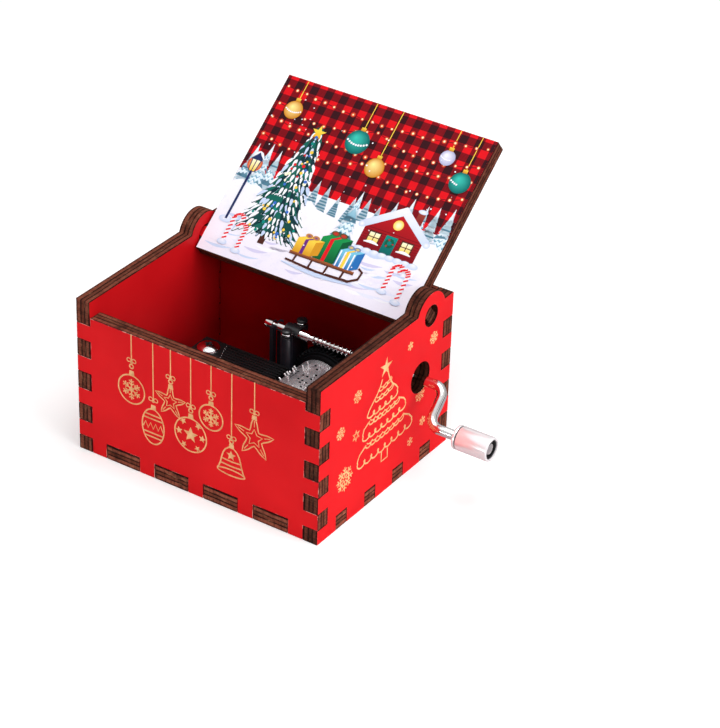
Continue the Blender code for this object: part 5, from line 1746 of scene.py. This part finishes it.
    def lantern(self, u: float, v: float) -> None:
        """A lamp post with a lit lantern."""
        self.stroke([(u, v), (u, v + 6), (u, v + 12.5)], 0.6, NAVY, 1.0)
        self.disc((u, v + 14.4), 1.9, ink(255, 214, 130), ink(214, 70, 50))
        self.fill([(u - 0.85, v + 12.6), (u + 0.85, v + 12.6), (u + 1.2, v + 15.6),
                   (u - 1.2, v + 15.6)], LAMP, GOLD)
        for hand in (-1, 0, 1):
            self.stroke([(u + hand * 0.8, v + 12.5), (u + hand, v + 14),
                         (u + hand * 1.15, v + 15.6)], 0.24, NAVY, 1.0)
        self.fill([(u - 1.6, v + 15.4), (u + 1.6, v + 15.4), (u, v + 17.4)], NAVY)
        self.stroke(self.bend((u - 1.6, v + 15.9), (u + 1.6, v + 15.9), -1.4), 0.8, SNOW)
        self.disc((u, v - 0.1), 1.7, SNOW, SHADE, 0.5, shine=(0, 0.4))

    def baubles(self) -> None:
        """Large baubles that hang in front of the cloth."""
        for u, v, size, light, deep in self.hung:
            self.disc((u, v), size, light, deep, shine=(-0.3, 0.35))
            self.slab(u - 0.6, v + size - 0.15, u + 0.6, v + size + 0.75, GOLD,
                      ink(190, 120, 30))
            for step in range(9):
                share = (step - 4) / 4
                self.disc((u + share * size * 0.84, v - 0.25 * size * (1 - share ** 2)),
                          size * 0.09, SNOW, SNOW)

    def gift(self, u: float, v: float, wide: float, tall: float, wrap: Colour,
             dark: Colour, band: Colour) -> None:
        """A wrapped box with a ribbon and its bow."""
        side, rise, half = wide * 0.42, tall * 0.24, wide * 0.09
        right, top, middle = u + wide, v + tall, u + wide / 2
        self.slab(u, v, right, top, wrap, dark)
        self.fill([(right, v), (right + side, v + rise), (right + side, top + rise),
                   (right, top)], dark)
        self.fill([(u, top), (right, top), (right + side, top + rise),
                   (u + side, top + rise)], wrap)
        self.fill([(middle - half, v), (middle + half, v), (middle + half, top),
                   (middle + side + half, top + rise), (middle + side - half, top + rise),
                   (middle - half, top)], band)
        for hand in (-1, 1):
            self.disc((middle + side / 2 + hand * wide * 0.2, top + rise * 1.2),
                      wide * 0.2, band, dark, 0.6)

    def sledge(self, u: float, v: float) -> None:
        """A wooden sledge piled with gifts."""
        self.stroke([(u - 8.6, v + 0.2), (u, v - 0.35), (u + 8.2, v), (u + 10.2, v + 1.2),
                     (u + 10.4, v + 3.0), (u + 9.2, v + 3.6)], 0.6, BARK, 0.8)
        for leg in range(4):
            x = u - 6.6 + 4.2 * leg
            self.bar((x, v), (x + 0.2, v + 2), 0.5, BARK)
        self.slab(u - 8.4, v + 1.7, u + 8.6, v + 2.5, ink(170, 96, 56), BARK)
        self.stroke(self.bend((u - 9.2, v - 0.6), (u + 9.6, v - 0.5), 0.5, 8), 0.9, SHADE)
        self.next_coat()
        self.gift(u - 2.6, v + 2.5, 5.2, 5.4, ink(26, 142, 74), ink(8, 84, 48), SCARLET)
        self.gift(u - 8.0, v + 2.4, 4.6, 3.5, GOLD, ink(214, 150, 40), PLUM)
        self.next_coat()
        self.gift(u + 3.0, v + 2.4, 4.2, 4.0, ink(120, 196, 226), ink(44, 110, 180), GOLD)
        for stripe in range(4):
            x = u + 3.35 + stripe * 1.15
            self.stroke([(x, v + 2.45), (x, v + 4.4), (x, v + 6.3)], 0.34, SNOW, 1.0)

    def canes(self) -> None:
        """Striped sugar canes standing in the snow."""
        for u, v, tall, hand in ((-22.6, -0.8, 6.2, 1), (-18.4, -1.8, 5.2, -1),
                                 (19.4, 0.8, 5.6, 1), (23.6, -0.6, 6.4, -1)):
            path = [(u, v + tall * step / 6) for step in range(7)]
            path += [(u + hand * (1.2 - 1.2 * math.cos(turn)), v + tall + 1.2 * math.sin(turn))
                     for turn in (0.5, 1.0, 1.57, 2.1, 2.7, 3.14)]
            self.stroke(path, 1.0, SNOW, 0.9)
            self.next_coat()
            for x, y in path[1:-1]:
                self.stroke([(x - 0.5, y - 0.3), (x, y), (x + 0.5, y + 0.3)], 0.42, SCARLET,
                            0.9)
            self.disc((u, v - 0.1), 1.3, SNOW, SHADE, 0.5, shine=(0, 0.4))

    def sparkles(self) -> None:
        """Small flecks of snow in the air, below the print's top edge."""
        self.next_coat()
        for _ in range(70):
            spot = (self.dice.uniform(self.left + 1, self.right - 1),
                    self.dice.uniform(self.foot + 1, self.top - 4.2))
            self.disc(spot, self.dice.uniform(0.1, 0.2), SNOW, SNOW)


class Lid:
    """The hinged lid, its burnt edges and the picture inside it."""

    def build(self) -> None:
        """Refine the board and lay the picture on its inner face."""
        tilt = Picture.tilt
        board = copy_of_node("lid", "lid_panel")
        bevel(board, BOARD_ROUND)
        normal = Vector((0, -math.sin(tilt), math.cos(tilt)))
        face = pivot("lid_hinge").dot(normal) - Picture.half_thick * MM
        edge = BurntEdge(burn=0.5).build(Axis.Z, face, "lid", (-tilt, 0, 0))
        for material in (RedPaint().build(Axis.Z), edge):
            board.data.materials.append(material)
        for polygon in board.data.polygons:
            polygon.material_index = int(abs(polygon.normal.dot(normal)) <= SQUARE_TO_FACE)
        even_shading(board, 30)
        settle(board, Body.LID, Slot.PLY, "lid")
        scene = WinterScene()
        scene.draw()
        inks = PrintInk()
        settle(scene.piece("lid_printed_picture", inks.painted(), inks.woven()), Body.LID)


# Studio


@dataclass(frozen=True)
class Studio:
    """A pale floor, soft lights and the camera at the photograph's angle."""

    lens: float = 140.7
    right: Triple = (0.83007691, 0.55688213, 0.02923376)
    down: Triple = (0.31272063, -0.42144939, -0.85122631)
    ahead: Triple = (-0.46171217, 0.7157253, -0.52398393)
    eye: Triple = (0.302594, -0.430611, 0.345180)
    ambient: float = 0.07
    distance: float = 0.9
    walls: tuple[Point, ...] = ((0.0, 0.03), (0.16, 0.02), (0.22, 1.00), (0.34, 0.95),
                                (0.42, 0.16), (0.52, 0.75), (0.80, 1.00))

    def camera(self) -> None:
        """Add the camera where the photograph was taken from."""
        bpy.ops.object.camera_add()
        camera = bpy.context.object
        rows = [(self.right[i], -self.down[i], -self.ahead[i], self.eye[i])
                for i in range(3)]
        camera.matrix_world = Matrix((*rows, (0, 0, 0, 1)))
        camera.data.sensor_fit = "HORIZONTAL"
        camera.data.sensor_width = 36
        camera.data.lens = self.lens
        camera.data.clip_start = 0.01
        bpy.context.scene.camera = camera

    def floor(self) -> None:
        """Add the floor, which shows white and keeps the object's shadow."""
        bpy.ops.mesh.primitive_plane_add(size=8, location=(0, 0, -0.05 * MM))
        floor = bpy.context.object
        floor.name = "studio_floor"
        shader = Shader("studio floor")
        path = shader.add("ShaderNodeLightPath").outputs
        tone = shader.mix(path["Is Glossy Ray"], (0.80, 0.80, 0.80), (0.42, 0.40, 0.42))
        shader.set(Base_Color=tone, Roughness=0.6, Specular_IOR_Level=0.2)
        seen = shader.sum("MAXIMUM", path["Is Camera Ray"], path["Is Transmission Ray"])
        glow = shader.make("ShaderNodeEmission", 0, {
            "Color": (1.0, 1.0, 1.0), "Strength": shader.sum("MULTIPLY", seen, 0.35)})
        total = shader.make("ShaderNodeAddShader", 0,
                            {0: shader.surface.outputs[0], 1: glow})
        shader.wire(total, shader.tree.nodes["Material Output"].inputs["Surface"])
        floor.data.materials.append(shader.material)

    def world(self) -> None:
        """A dim room for soft light, which shows white behind the object.

        Glossy surfaces see a bright ceiling, grey walls and a dark band at eye level.
        """
        world = bpy.data.worlds.new("soft room")
        bpy.context.scene.world = world
        world.use_nodes = True
        nodes = Nodes(world.node_tree)
        path = nodes.add("ShaderNodeLightPath").outputs
        height = nodes.part(nodes.add("ShaderNodeTexCoord").outputs["Generated"], Axis.Z)
        tone = nodes.ramp(height, [(level, (grey, grey, grey)) for level, grey in self.walls])
        for ray, seen in (("Is Diffuse Ray", self.ambient), ("Is Camera Ray", 1.0)):
            tone = nodes.mix(path[ray], tone, (seen, seen, seen))
        nodes.wire(tone, nodes.tree.nodes["Background"].inputs["Color"])

    def lamp(self, name: str, toward: Triple, size: Point, power: float,
             mirrored: bool = True) -> None:
        """Add a softbox that faces the object.

        Args:
            name: the lamp's name.
            toward: direction from the object to the lamp.
            size: the softbox's width and height in metres.
            power: its power in watts.
            mirrored: whether bright metal shows it.
        """
        bpy.ops.object.light_add(type="AREA")
        light = bpy.context.object
        light.name = name
        light.data.shape = "RECTANGLE"
        light.data.size, light.data.size_y = size
        light.data.energy = power
        light.visible_glossy = mirrored
        direction = Vector(toward).normalized()
        light.location = direction * self.distance + Vector((0, 0, 0.02))
        light.rotation_mode = "QUATERNION"
        light.rotation_quaternion = direction.to_track_quat("Z", "Y")

    def build(self) -> None:
        """Set up the studio."""
        self.floor()
        self.world()
        self.lamp("top_softbox", (0.15, -0.05, 1.0), (0.6, 0.6), 6.8)
        self.lamp("key_softbox", (0.93, -0.05, 0.32), (0.7, 0.4), 6.1, mirrored=False)
        self.lamp("front_strip", (-0.08, -1.0, 0.055), (0.7, 0.055), 2.0)
        self.camera()
        bpy.context.scene.view_settings.view_transform = "Standard"


def main() -> None:
    """Build the pieces in order, then the studio."""
    logging.basicConfig(level=logging.INFO, format="%(message)s")
    finishes = Finishes()
    Case().build(finishes)
    Lid().build()
    Movement(finishes).build()
    Drum(finishes).build()
    RoundParts().build(finishes)
    Crank(finishes).build()
    Studio().build()


if __name__ == "__main__":
    main()
